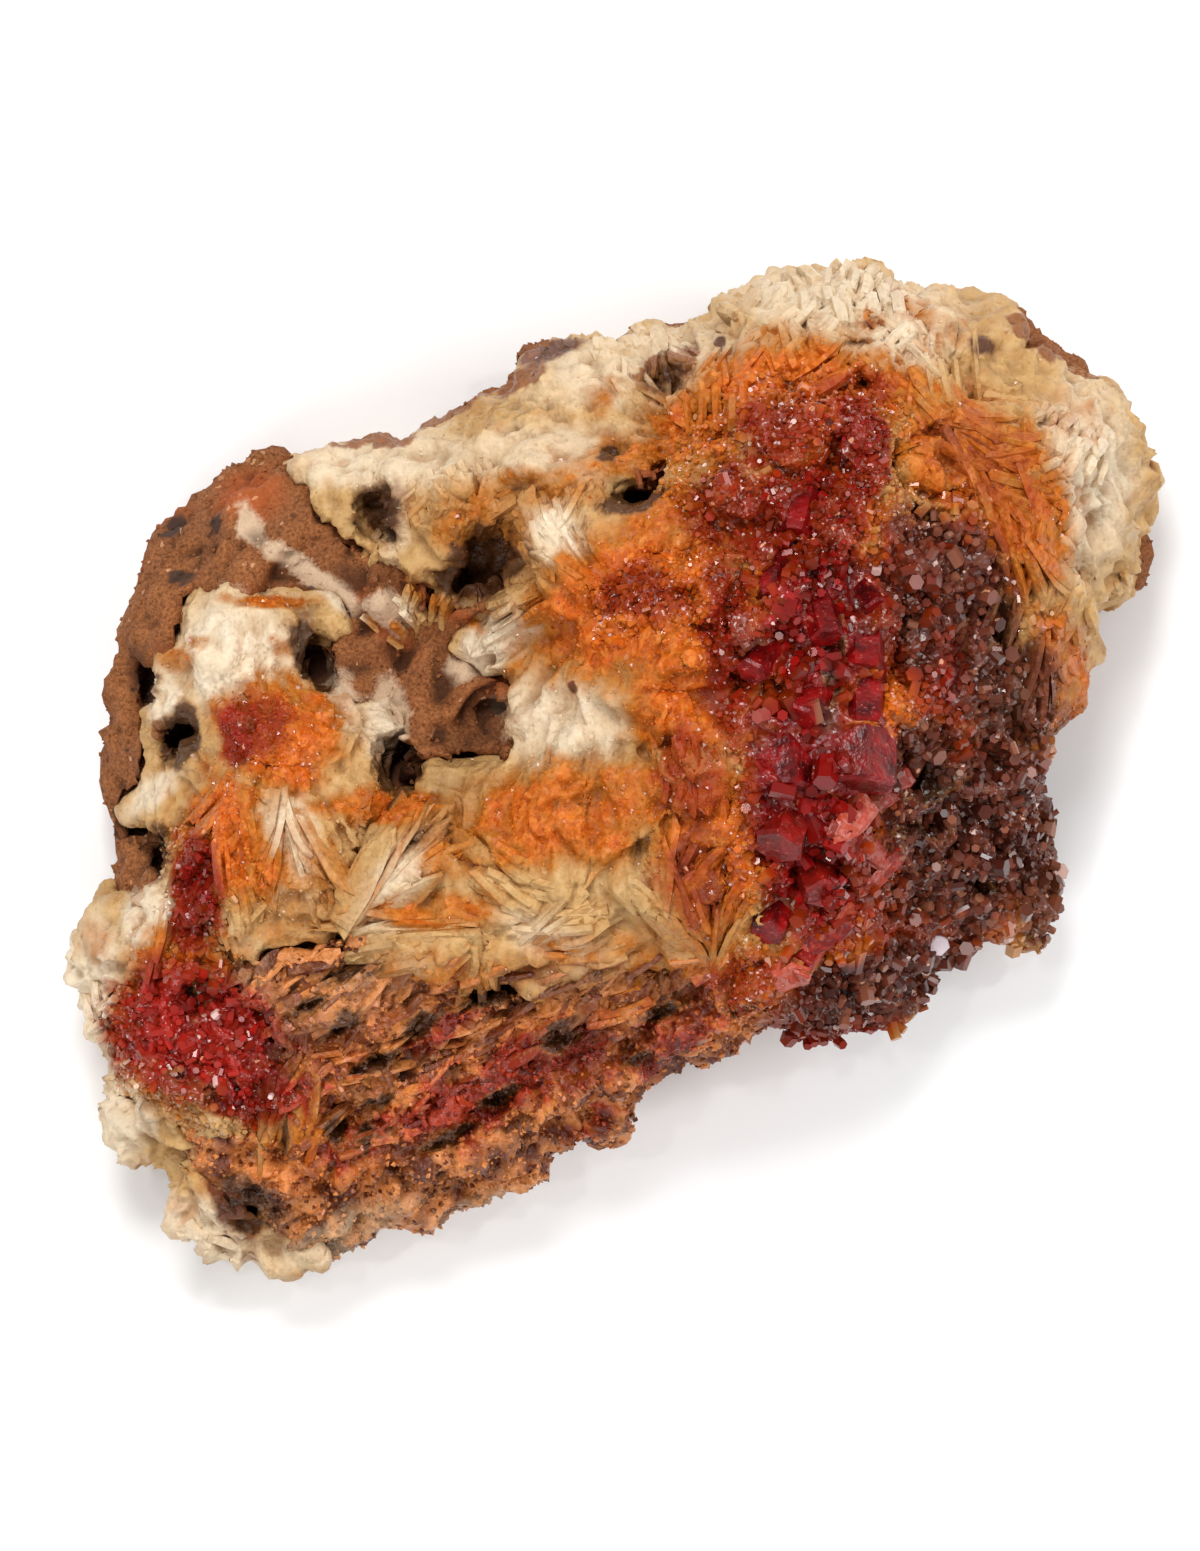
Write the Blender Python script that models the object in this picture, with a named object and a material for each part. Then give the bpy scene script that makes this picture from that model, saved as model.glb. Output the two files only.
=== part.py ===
"""Vanadinite on barite: a hand-sized mineral specimen that lies on its flat cut back.

Lengths are in millimetres until a mesh is made, +X to the right, +Y away and +Z up from the cut back.
The whole specimen is grown first as one faceted mass: a rock with its pits, barite blades and ledges,
and vanadinite prisms. It is then parted where one growth ends and the next begins, so that each piece
is bedded in the piece below it with a hairline gap.
"""

import math
import random

import bmesh
import bpy
from mathutils import Matrix, Vector, noise

MM = 0.001
SEED = 11

# Driving dimensions, in millimetres
GAP = 0.3
RIM_HEIGHT = 9.0
CROWN_RINGS = 14
CROWN_RING_POWER = 0.85
CROWN_EDGE_POWER = 8
LANDMARK_REACH = 5.0
ROUGHNESS = 2.4
ROUGHNESS_SCALE = 2.5
SIDE_WANDER = 0.3
SIDE_WANDER_SCALE = 6.0
BACK_TRIM = 0.4
SPECIMEN_TRIANGLES = 3200
BED_RIM = 4.0
FLOOR_STEP = 7.0
CUTTER_MARGIN = 3.0
CUTTER_TOP = 60.0
FENCE_FOOT = -5.0
FENCE_TOP = 57.0
TIP_SHARE = 1.01
TIP_CUT = 0.9
SIDE_RINGS = ((0.7, 0.62), (2.4, 0.28), (4.6, 0.0))
MASS_CENTRE = (0.0, 1.2)

# The widest outline, clockwise from the left end
OUTLINE = (
    (-41.3, 4.5), (-41.0, 9.5), (-40.3, 12.8), (-38.8, 16.9), (-37.2, 20.2), (-33.0, 23.5),
    (-28.9, 26.8), (-24.8, 27.3), (-20.7, 27.3), (-16.5, 28.5), (-12.4, 30.6), (-8.3, 32.2),
    (-7.0, 33.9), (-6.6, 35.1), (-2.5, 36.3), (1.7, 37.4), (4.6, 37.8), (7.4, 37.6), (9.9, 38.2),
    (13.2, 40.1), (16.5, 41.5), (19.4, 41.3), (22.3, 42.3), (24.8, 40.9), (27.3, 40.7), (29.7, 39.4),
    (34.7, 39.6), (35.9, 38.0), (38.0, 36.8), (39.6, 34.1), (42.1, 32.8), (43.8, 31.4), (44.4, 29.3),
    (44.6, 25.2), (45.3, 23.5), (44.9, 21.1), (44.2, 17.8), (42.1, 14.9), (41.7, 12.8), (40.9, 10.3),
    (40.5, 7.0), (39.2, 4.5), (37.6, 2.5), (36.5, -1.2), (37.6, -4.5), (38.0, -6.2), (36.8, -8.7),
    (36.3, -11.2), (34.7, -12.8), (33.0, -13.8), (30.6, -14.5), (28.1, -16.9), (24.0, -19.4),
    (22.3, -20.7), (18.2, -22.5), (16.9, -21.3), (14.2, -21.2), (11.6, -22.3), (8.3, -23.4),
    (6.2, -24.5), (4.1, -25.6), (1.7, -27.3), (0.8, -29.0), (-0.8, -27.6), (-4.1, -30.6),
    (-4.8, -32.2), (-7.4, -33.9), (-11.4, -35.1), (-14.9, -37.2), (-19.8, -38.8), (-24.0, -40.1),
    (-25.6, -41.5), (-28.8, -41.2), (-32.2, -41.3), (-33.5, -39.6), (-34.3, -37.6), (-36.3, -34.0),
    (-37.8, -32.8), (-39.6, -33.3), (-41.3, -31.0), (-41.7, -27.7), (-41.7, -25.2), (-42.5, -21.9),
    (-43.8, -18.6), (-44.8, -15.7), (-44.2, -13.2), (-42.1, -11.2), (-41.1, -8.7), (-41.3, -5.4),
    (-41.1, -2.1), (-41.4, 1.2),
)

# Heights of the crown above the cut back: x, y, z
LANDMARKS = (
    # bare rock on the left, and its hollow in the middle
    (-36, 16, 19), (-30, 22, 20), (-21, 27, 22), (-12, 30, 23), (-38, 8, 16), (-39, 0, 14),
    (-38, -5, 15), (-15, 9, 14), (-22, 17, 16), (-14, 2, 16), (-23, 11, 17), (-9, 11, 18),
    # barite on the left: saddle, sugary patch and fan
    (-29, 8, 28), (-33, 13, 25), (-19, 4, 26), (-25, -2, 28), (-28, -8, 27), (-34, -8, 22),
    # barite along the top and down the right
    (-22, 24, 25), (-12, 24, 29), (-2, 26, 31), (4, 33, 26), (12, 38, 30), (22, 40, 30),
    (20, 34, 34), (31, 35, 27), (37, 33, 24), (34, 24, 31), (41, 24, 25), (40, 13, 19),
    # the middle: cream patch, dome and fans
    (-3, 5, 33), (3, 14, 37), (-4, 18, 31), (0, -4, 31), (8, -6, 32), (-8, -4, 29),
    (-14, -8, 27), (0, -12, 27), (9, -13, 26), (-20, -13, 24),
    # red band
    (17, 27, 37), (19, 17, 38), (17, 8, 37), (17, 0, 36), (16, -7, 33), (15, -13, 28), (14, -18, 21),
    # dark druse
    (28, 18, 33), (32, 10, 27), (27, 2, 28), (34, 0, 20), (29, -8, 22), (34, -9, 15), (24, -16, 16),
    # lower left: red patch and pale rim
    (-33, -20, 22), (-37, -25, 19), (-28, -26, 20), (-42, -19, 15), (-40, -30, 12), (-32, -39, 10),
    # ledges along the bottom
    (-20, -20, 22), (-10, -20, 21), (0, -19, 19), (-20, -28, 16), (-10, -27, 15), (-24, -35, 11),
    (-14, -33, 10), (-2, -25, 12), (9, -20, 15),
)

# Pits and vugs: x, y, width, length, turn in degrees, depth below the crown
PITS = (
    (-17.8, 21.9, 4.4, 6.0, 20, 6.0), (-9.9, 17.2, 8.0, 6.2, 25, 8.0), (-9.1, 4.4, 5.0, 6.2, -20, 7.0),
    (-16.6, 0.8, 4.4, 5.0, 10, 4.5), (-22.9, 9.3, 2.2, 5.4, 25, 5.0), (-38.0, 8.9, 3.0, 5.0, 10, 4.0),
    (-34.7, 3.3, 3.2, 5.0, 20, 7.0), (-38.2, -6.0, 3.4, 4.6, 0, 4.0), (4.6, 33.2, 5.6, 4.6, 30, 4.0),
    (31.4, 35.4, 2.6, 2.6, 0, 3.0), (26.4, -0.4, 3.0, 3.4, 40, 4.0), (28.6, -4.7, 3.0, 3.6, -30, 4.0),
    (31.6, -9.6, 3.2, 2.6, 0, 3.5), (-33.6, -18.6, 2.4, 6.4, -15, 4.0), (-9.0, -18.4, 2.6, 6.0, 70, 4.0),
    (-19.0, -24.0, 2.4, 6.0, 60, 4.0),
)

# Fans of tabular barite: x, y, middle heading, spread, lift, count, length, width, thickness, rise.
# A heading of 0 points along +X and 90 along +Y, and rise is how far the root stands out.
BARITE_FANS = (
    (7.4, -13.2, 92, 80, 12, 8, 10.0, 4.6, 1.0, 0.4),
    (-10.5, -12.2, 182, 22, 4, 5, 10.5, 3.6, 1.2, 0.6),
    (-9.6, -14.0, 274, 24, 0, 4, 5.6, 4.0, 1.0, 0.8),
    (-8.4, -7.6, 322, 40, 2, 6, 8.6, 3.6, 1.1, 0.6),
    (-21.0, -9.4, 46, 40, 4, 5, 9.6, 4.6, 1.2, 0.8),
    (-28.0, -2.6, 266, 80, 0, 9, 10.0, 4.6, 1.2, 0.9),
    (-37.4, -15.2, 72, 6, 6, 1, 7.0, 4.0, 2.2, 1.2),
    (-1.0, 16.6, 134, 30, 22, 3, 6.2, 3.8, 1.6, 0.8),
    (-4.0, 14.8, 206, 16, -4, 3, 7.6, 2.8, 1.4, 0.4),
    (-16.0, 12.6, 112, 50, 26, 4, 5.4, 3.2, 1.0, 0.8),
    (27.0, 30.6, 116, 60, 6, 6, 8.4, 4.4, 1.3, 1.0),
    (31.0, 27.4, 318, 76, 2, 8, 10.4, 4.4, 1.1, 0.8),
    (36.8, 17.4, 268, 56, 0, 5, 9.6, 4.4, 1.1, 0.8),
    (8.6, 30.0, 98, 76, 4, 6, 7.2, 4.2, 1.2, 0.9),
    (-3.0, 0.6, 270, 76, 2, 7, 7.4, 3.8, 1.2, 0.7),
    (3.0, 8.0, 10, 90, 4, 7, 7.6, 3.6, 1.1, 0.4),
    (-13.0, 22.4, 262, 60, -8, 5, 5.6, 3.2, 1.2, 0.6),
    (22.4, 4.2, 8, 50, 0, 3, 5.6, 3.2, 1.0, 1.0),
    (-40.4, -20.0, 255, 50, 0, 3, 5.0, 4.0, 1.8, 0.7),
    (-35.0, -34.0, 300, 50, 0, 3, 5.4, 4.0, 1.8, 0.7),
    (-25.6, -27.6, 262, 40, 0, 4, 7.6, 4.2, 1.7, 0.9),
)
FAN_WANDER = 1.6

# Ledge plates along the bottom, which run with the lower contour and step down away from the crown
LEDGE_HEADING = 29.0
LEDGE_FIRST = (-27.0, -19.4)
LEDGE_ROWS = 6
LEDGE_ROW_STEP = 3.1
LEDGE_PLATES = 4
LEDGE_PLATE_STEP = 10.4
LEDGE_SIZE = (11.0, 4.8, 1.7)

# The pale ribbon of plates that zigzags down the right side of the red band
RIBBON = ((24.0, -1.0), (19.2, -4.2), (23.8, -7.2), (20.4, -11.0), (14.4, -17.2))
RIBBON_SIZE = (3.4, 1.2)
RIBBON_ROLL = 34

# Large vanadinite prisms: x, y, radius, length, heading of the lean, lean from upright
LARGE_PRISMS = (
    (14.7, 2.0, 2.6, 3.5, 270, 70), (20.8, 1.8, 3.4, 3.1, 270, 72), (21.3, 7.1, 2.1, 3.3, 270, 70),
    (21.2, 10.8, 2.0, 2.4, 268, 70), (15.2, -3.6, 2.3, 3.0, 250, 54), (14.6, -11.0, 1.6, 2.8, 240, 50),
    (14.0, 16.6, 1.4, 2.6, 270, 60), (16.4, 21.6, 1.4, 2.6, 255, 60), (13.4, 9.8, 1.4, 2.6, 230, 50),
    (17.8, 13.4, 1.5, 2.8, 285, 60), (17.4, -7.6, 1.7, 3.0, 290, 50), (17.4, 6.6, 1.5, 2.8, 240, 56),
    (21.6, 15.0, 1.3, 2.4, 300, 50), (17.0, -14.0, 1.4, 2.4, 240, 50),
)

# Fields of small crystals: x, y, reach along x and y, count, radius, length
SMALL_PRISM_FIELDS = (
    (17.4, 24.0, 5.6, 7.0, 13, 1.2, 3.2),
    (18.0, 6.0, 4.6, 8.0, 8, 1.1, 3.2),
    (-35.6, -23.0, 4.0, 3.4, 6, 1.2, 3.0),
    (-33.0, -9.6, 2.0, 4.0, 4, 1.1, 3.0),
)
DRUSE_KNOB_FIELDS = (
    (28.6, 14.0, 3.0, 6.6, 9, 2.2),
    (34.6, 6.0, 2.4, 4.6, 5, 2.0),
    (29.0, -5.0, 5.2, 6.0, 10, 2.2),
    (24.0, -16.0, 5.6, 1.6, 6, 1.8),
)

# Where each growth ends, seen from above, and how deep its bed lies under the crown
RED_BAND = (
    (13.2, 33.1), (19.8, 33.5), (23.8, 29.3), (24.6, 21.1), (23.8, 14.5), (24.2, 6.2), (25.0, -0.4),
    (24.6, -7.4), (20.9, -11.8), (16.5, -15.7), (14.6, -19.4), (11.4, -17.6), (11.0, -10.3),
    (11.4, -3.7), (11.2, 2.9), (10.8, 8.2), (7.6, 11.2), (0.4, 11.4), (-0.6, 14.4), (3.3, 16.7),
    (8.3, 17.9), (6.0, 23.6), (8.3, 28.7),
)
RED_PATCH = (
    (-36.2, -3.7), (-31.8, -4.3), (-29.8, -7.9), (-30.4, -12.8), (-30.6, -15.9), (-25.0, -24.8),
    (-25.4, -28.7), (-33.5, -29.1), (-40.2, -25.8), (-40.4, -18.8), (-37.6, -16.2), (-35.6, -14.0),
    (-36.2, -8.3),
)
DARK_DRUSE = (
    (24.0, 24.4), (29.8, 23.1), (33.3, 18.1), (37.0, 13.2), (36.6, 3.3), (44.0, 1.2), (44.0, -8.0),
    (39.0, -16.0), (30.0, -23.0), (19.0, -27.0), (14.2, -21.0), (13.4, -18.0), (19.0, -12.0),
    (23.0, -6.0), (23.4, 6.0), (22.8, 16.0),
)
BARITE_CENTRE = (
    (-5.0, 20.9), (0.0, 20.5), (5.2, 23.4), (7.4, 29.6), (13.2, 34.1), (20.4, 34.5), (25.0, 29.6),
    (25.6, 24.0), (25.6, -8.0), (16.5, -17.5), (7.4, -15.5), (0.0, -15.5), (-8.3, -18.4),
    (-11.1, -18.2), (-13.2, -15.0), (-22.3, -13.8), (-21.7, -8.7), (-17.6, -2.1), (-12.4, 1.0),
    (-6.6, 1.9), (-6.8, 6.6), (-8.2, 8.7), (-12.0, 10.4), (-11.6, 12.0), (-5.0, 15.7),
)
BARITE_CREST = (
    (-26.2, 26.6), (-16.5, 27.9), (-10.7, 30.0), (-7.8, 32.2), (-4.4, 33.0), (-1.0, 35.1), (0.0, 43.0),
    (12.0, 46.0), (26.0, 46.0), (33.0, 43.0), (33.4, 38.5), (34.0, 34.5), (38.0, 33.0), (40.6, 32.0),
    (47.0, 35.0), (50.0, 28.0), (50.0, 14.0), (45.0, 6.0), (42.0, 3.0), (35.6, 2.0), (32.0, 14.0),
    (23.0, 22.0), (23.0, 30.0), (12.0, 32.0), (4.0, 24.6), (-1.0, 19.0), (-4.0, 18.4), (-6.4, 14.7),
    (-13.2, 14.3), (-15.0, 17.6), (-19.0, 19.0), (-21.7, 21.1), (-26.0, 24.8),
)
BARITE_LEFT = (
    (-33.5, 14.9), (-28.1, 15.1), (-22.1, 14.7), (-21.7, 12.4), (-24.4, 11.2), (-21.9, 6.8),
    (-18.4, 7.2), (-17.2, 2.9), (-17.4, -0.8), (-18.0, -1.6), (-20.0, -8.0), (-20.0, -13.0),
    (-28.1, -15.0), (-31.8, -17.0), (-38.0, -17.0), (-38.6, -12.7), (-36.8, -8.7), (-36.6, -3.9),
    (-40.3, -2.9), (-37.6, 0.4), (-38.4, 5.8), (-36.6, 10.2), (-34.9, 11.8),
)
BARITE_RIM = (
    (-48.0, -8.6), (-48.0, -26.0), (-45.0, -38.0), (-34.0, -45.0), (-22.6, -45.0), (-23.0, -39.4),
    (-28.0, -36.9), (-32.8, -33.5), (-34.8, -29.6), (-39.4, -25.0), (-39.4, -18.8), (-37.4, -14.5),
    (-39.2, -11.7), (-41.5, -9.2),
)
BARITE_LEDGES = (
    (-32.0, -16.0), (-26.0, -13.0), (-13.0, -13.0), (-10.0, -16.0), (8.0, -13.0), (16.0, -16.0),
    (20.0, -30.0), (0.0, -36.0), (-22.2, -45.0), (-22.6, -39.0), (-27.6, -36.5), (-32.4, -33.1),
    (-34.4, -29.2), (-25.0, -26.0),
)
GROWTHS = (
    ("vanadinite_band", RED_BAND, 2.6),
    ("vanadinite_patch", RED_PATCH, 2.6),
    ("dark_druse", DARK_DRUSE, 7.0),
    ("barite_centre", BARITE_CENTRE, 11.0),
    ("barite_crest", BARITE_CREST, 8.5),
    ("barite_left", BARITE_LEFT, 6.5),
    ("barite_rim", BARITE_RIM, 5.0),
    ("barite_ledges", BARITE_LEDGES, 5.5),
)
HOST = "host_rock"

# Colour, roughness and metallic value of each piece
FINISHES = {
    "host_rock": ((0.36, 0.15, 0.07), 0.9, 0.0),
    "barite_crest": ((0.83, 0.66, 0.42), 0.6, 0.0),
    "barite_centre": ((0.72, 0.32, 0.08), 0.55, 0.0),
    "barite_left": ((0.84, 0.68, 0.50), 0.6, 0.0),
    "barite_rim": ((0.80, 0.68, 0.52), 0.7, 0.0),
    "barite_ledges": ((0.38, 0.16, 0.06), 0.75, 0.0),
    "vanadinite_band": ((0.50, 0.02, 0.01), 0.2, 0.0),
    "vanadinite_patch": ((0.52, 0.02, 0.02), 0.25, 0.0),
    "dark_druse": ((0.10, 0.03, 0.02), 0.35, 0.0),
}


def clear_scene():
    """Take out every object of the scene that the file opened with."""
    for obj in list(bpy.data.objects):
        bpy.data.objects.remove(obj, do_unlink=True)


def finish_material(name):
    """The finish of one piece."""
    colour, roughness, metallic = FINISHES[name]
    material = bpy.data.materials.new(name)
    material.use_nodes = True
    shader = material.node_tree.nodes["Principled BSDF"]
    shader.inputs["Base Color"].default_value = (*colour, 1.0)
    shader.inputs["Roughness"].default_value = roughness
    shader.inputs["Metallic"].default_value = metallic
    return material


def crown_height(x, y):
    """Height of the crown, drawn smoothly through the landmarks."""
    total = 0.0
    weights = 0.0
    for mark_x, mark_y, mark_z in LANDMARKS:
        distance_squared = (x - mark_x) ** 2 + (y - mark_y) ** 2
        weight = math.exp(-distance_squared / (2 * LANDMARK_REACH ** 2)) + 1e-9
        total += weight * mark_z
        weights += weight
    return total / weights


def outline_share(x, y):
    """How far out a place lies: 0 in the middle of the mass and 1 on its outline."""
    centre = Vector(MASS_CENTRE)
    arm = Vector((x, y)) - centre
    for start, end in zip(OUTLINE, OUTLINE[1:] + OUTLINE[:1]):
        corner = Vector(start) - centre
        side = Vector(end) - Vector(start)
        turn = arm.cross(side)
        if abs(turn) < 1e-9:
            continue
        reach = corner.cross(side) / turn
        along = corner.cross(arm) / turn
        if reach > 0 and 0 <= along <= 1:
            return 1.0 / reach
    return 0.0


def edge_fall(share):
    """How much of the crown's height is left at a share of the way out."""
    return math.sqrt(max(0.0, 1.0 - share ** CROWN_EDGE_POWER))


def surface_height(x, y):
    """Height of the crown with its fall towards the outline."""
    return RIM_HEIGHT + (crown_height(x, y) - RIM_HEIGHT) * edge_fall(outline_share(x, y))


def fitted_length(x, y, heading, length):
    """A crystal's length, cut back until its tip stays on the specimen."""
    run = Vector((math.cos(math.radians(heading)), math.sin(math.radians(heading))))
    while outline_share(x + run.x * length, y + run.y * length) > TIP_SHARE and length > 1.0:
        length *= TIP_CUT
    return length


def surface_lift(x, y, heading, length):
    """Angle at which the surface rises along a heading."""
    end_x = x + length * math.cos(math.radians(heading))
    end_y = y + length * math.sin(math.radians(heading))
    return math.degrees(math.atan2(surface_height(end_x, end_y) - surface_height(x, y), length))


def link_object(name, bm):
    """Put a finished mesh, given in millimetres, in the scene as an object in metres."""
    bmesh.ops.triangulate(bm, faces=bm.faces[:])
    bmesh.ops.recalc_face_normals(bm, faces=bm.faces[:])
    bmesh.ops.scale(bm, vec=(MM, MM, MM), verts=bm.verts[:])
    mesh = bpy.data.meshes.new(name)
    bm.to_mesh(mesh)
    bm.free()
    obj = bpy.data.objects.new(name, mesh)
    bpy.context.scene.collection.objects.link(obj)
    return obj


def bridge_rings(bm, outer, inner):
    """Join two rings of equal count with a band of faces."""
    count = len(outer)
    for index in range(count):
        after = (index + 1) % count
        bm.faces.new((outer[index], outer[after], inner[after], inner[index]))


def grow_mass():
    """The bare mass: a rough crown inside the outline, steep sides and the flat cut back."""
    bm = bmesh.new()
    centre = Vector(MASS_CENTRE)
    rings = []
    for number in range(1, CROWN_RINGS + 1):
        share = (number / CROWN_RINGS) ** CROWN_RING_POWER
        fall = edge_fall(share)
        ring = []
        for corner in OUTLINE:
            place = centre + (Vector(corner) - centre) * share
            crown = crown_height(place.x, place.y)
            bump = noise.noise(Vector((place.x, place.y, SEED)) / ROUGHNESS_SCALE) * ROUGHNESS
            height = RIM_HEIGHT + (crown + bump - RIM_HEIGHT) * fall
            ring.append(bm.verts.new((place.x, place.y, height)))
        rings.append(ring)
    top = bm.verts.new((*MASS_CENTRE, crown_height(*MASS_CENTRE)))
    first = rings[0]
    for index, corner in enumerate(first):
        bm.faces.new((corner, first[(index + 1) % len(first)], top))
    for inset, level in SIDE_RINGS:
        ring = []
        for corner in OUTLINE:
            arm = Vector(corner) - centre
            spot = Vector((corner[0], corner[1], level * RIM_HEIGHT)) / SIDE_WANDER_SCALE
            wander = 1.0 + SIDE_WANDER * noise.noise(spot)
            place = centre + arm * (1.0 - inset * wander / arm.length)
            ring.append(bm.verts.new((place.x, place.y, RIM_HEIGHT * level)))
        rings.append(ring)
    for inner, outer in zip(rings, rings[1:]):
        bridge_rings(bm, outer, inner)
    bm.faces.new(rings[-1])
    return link_object("mass", bm)


def plate(bm, length, width, thickness, placement):
    """A tabular crystal: a flat plate with a chisel end, rooted at the origin along +X."""
    root = -0.2 * length
    shoulder = 0.7 * length
    outline = (
        (root, -0.5, 1.0), (shoulder, -0.5, 0.9), (length, -0.1, 0.6), (length, 0.2, 0.6),
        (shoulder, 0.5, 0.9), (root, 0.5, 1.0),
    )
    sides = []
    for side in (-0.5, 0.5):
        corners = []
        for along, across, taper in outline:
            corner = Vector((along, side * thickness * taper, across * width))
            corners.append(bm.verts.new(placement @ corner))
        sides.append(corners)
    bm.faces.new(sides[0])
    bm.faces.new(reversed(sides[1]))
    bridge_rings(bm, sides[1], sides[0])


def heading_matrix(x, y, z, heading, lift, roll):
    """A placement whose +X points along a heading, lifted from level and rolled about itself."""
    return (
        Matrix.Translation((x, y, z))
        @ Matrix.Rotation(math.radians(heading), 4, "Z")
        @ Matrix.Rotation(math.radians(-lift), 4, "Y")
        @ Matrix.Rotation(math.radians(roll), 4, "X")
    )


def grow_fan(fan, draw):
    """One fan of blades that spread from a root."""
    x, y, heading, spread, lift, count, length, width, thickness, rise = fan
    blades = []
    for number in range(count):
        share = (number + 0.5) / count - 0.5
        bm = bmesh.new()
        root_x = x + draw.uniform(-FAN_WANDER, FAN_WANDER)
        root_y = y + draw.uniform(-FAN_WANDER, FAN_WANDER)
        root_z = surface_height(root_x, root_y) + rise - 0.3 * width + draw.uniform(-0.4, 0.4)
        turn = heading + share * spread
        reach = fitted_length(root_x, root_y, turn, length * draw.uniform(0.8, 1.15))
        slope = surface_lift(root_x, root_y, turn, 0.8 * reach) + lift + draw.uniform(-5, 5)
        placement = heading_matrix(root_x, root_y, root_z, turn, slope, draw.uniform(-22, 22))
        plate(bm, reach, width * draw.uniform(0.8, 1.15), thickness, placement)
        blades.append(link_object("blade", bm))
    return blades


def grow_ledges(draw):
    """Rows of plates that lie almost flat and step down towards the lower contour."""
    length, width, thickness = LEDGE_SIZE
    along = Vector((math.cos(math.radians(LEDGE_HEADING)), math.sin(math.radians(LEDGE_HEADING))))
    across = Vector((along.y, -along.x))
    plates = []
    for row in range(LEDGE_ROWS):
        for number in range(LEDGE_PLATES):
            offset = LEDGE_PLATE_STEP * (number + 0.5 * (row % 2)) + draw.uniform(-1.5, 1.5)
            place = Vector(LEDGE_FIRST) + along * offset + across * LEDGE_ROW_STEP * row
            heading = LEDGE_HEADING + draw.uniform(-9, 9)
            reach = fitted_length(*place, heading, length)
            lift = surface_lift(*place, heading, reach)
            placement = heading_matrix(*place, surface_height(*place), heading, lift, draw.uniform(72, 96))
            bm = bmesh.new()
            plate(bm, reach, width * draw.uniform(0.8, 1.15), thickness, placement)
            plates.append(link_object("ledge", bm))
    return plates


def grow_ribbon():
    """The zigzag ribbon, one upright plate between each two of its corners."""
    width, thickness = RIBBON_SIZE
    plates = []
    for start, end in zip(RIBBON, RIBBON[1:]):
        run = Vector(end) - Vector(start)
        rise = surface_height(*end) - surface_height(*start)
        bm = bmesh.new()
        heading = math.degrees(math.atan2(run.y, run.x))
        lift = math.degrees(math.atan2(rise, run.length))
        placement = heading_matrix(*start, surface_height(*start) + 0.3, heading, lift, RIBBON_ROLL)
        plate(bm, run.length * 1.1, width, thickness, placement)
        plates.append(link_object("ribbon", bm))
    return plates


def prism(bm, radius, length, placement):
    """A hexagonal vanadinite prism with a bevelled flat end, rooted below the origin along +Z."""
    rings = []
    for height, spread in ((-0.6 * length, 1.0), (0.82 * length, 1.0), (length, 0.72)):
        ring = []
        for side in range(6):
            turn = math.radians(60 * side)
            corner = Vector((radius * spread * math.cos(turn), radius * spread * math.sin(turn), height))
            ring.append(bm.verts.new(placement @ corner))
        rings.append(ring)
    bm.faces.new(rings[-1])
    bm.faces.new(reversed(rings[0]))
    for lower, upper in zip(rings, rings[1:]):
        bridge_rings(bm, lower, upper)


def stand_prism(x, y, radius, length, heading, lean, turn, sink):
    """One prism that stands out of the crown and leans along a heading."""
    bm = bmesh.new()
    placement = (
        Matrix.Translation((x, y, surface_height(x, y) - sink))
        @ Matrix.Rotation(math.radians(heading), 4, "Z")
        @ Matrix.Rotation(math.radians(lean), 4, "Y")
        @ Matrix.Rotation(math.radians(turn), 4, "Z")
    )
    prism(bm, radius, length, placement)
    return link_object("prism", bm)


def grow_prisms(draw):
    """The large vanadinite prisms and the fields of small ones."""
    prisms = []
    for x, y, radius, length, heading, lean in LARGE_PRISMS:
        prisms.append(stand_prism(x, y, radius, length, heading, lean, draw.uniform(0, 60), 0.45 * length))
    for x, y, reach_x, reach_y, count, radius, length in SMALL_PRISM_FIELDS:
        for _ in range(count):
            size = draw.uniform(0.75, 1.3)
            place_x = x + draw.uniform(-reach_x, reach_x)
            place_y = y + draw.uniform(-reach_y, reach_y)
            heading = draw.uniform(0, 360)
            lean = draw.uniform(5, 55)
            turn = draw.uniform(0, 60)
            prisms.append(
                stand_prism(place_x, place_y, radius * size, length * size, heading, lean, turn, 0.3 * length)
            )
    return prisms


def grow_knobs(draw):
    """Rounded knobs of the dark druse."""
    knobs = []
    for x, y, reach_x, reach_y, count, radius in DRUSE_KNOB_FIELDS:
        for _ in range(count):
            place_x = x + draw.uniform(-reach_x, reach_x)
            place_y = y + draw.uniform(-reach_y, reach_y)
            height = surface_height(place_x, place_y) - 0.35 * radius
            placement = (
                Matrix.Translation((place_x, place_y, height))
                @ Matrix.Rotation(draw.uniform(0, math.pi), 4, "X")
                @ Matrix.Rotation(draw.uniform(0, math.pi), 4, "Z")
            )
            bm = bmesh.new()
            size = radius * draw.uniform(0.75, 1.25)
            bmesh.ops.create_icosphere(bm, subdivisions=1, radius=size, matrix=placement)
            knobs.append(link_object("knob", bm))
    return knobs


def sink_pits():
    """The rounded solids that hollow out the pits and vugs."""
    pits = []
    for x, y, width, length, turn, depth in PITS:
        placement = (
            Matrix.Translation((x, y, surface_height(x, y) + 0.8))
            @ Matrix.Rotation(math.radians(turn), 4, "Z")
            @ Matrix.Diagonal((0.5 * width, 0.5 * length, depth, 1.0))
        )
        bm = bmesh.new()
        bmesh.ops.create_icosphere(bm, subdivisions=2, radius=1.0, matrix=placement)
        pits.append(link_object("pit", bm))
    return pits


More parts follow.
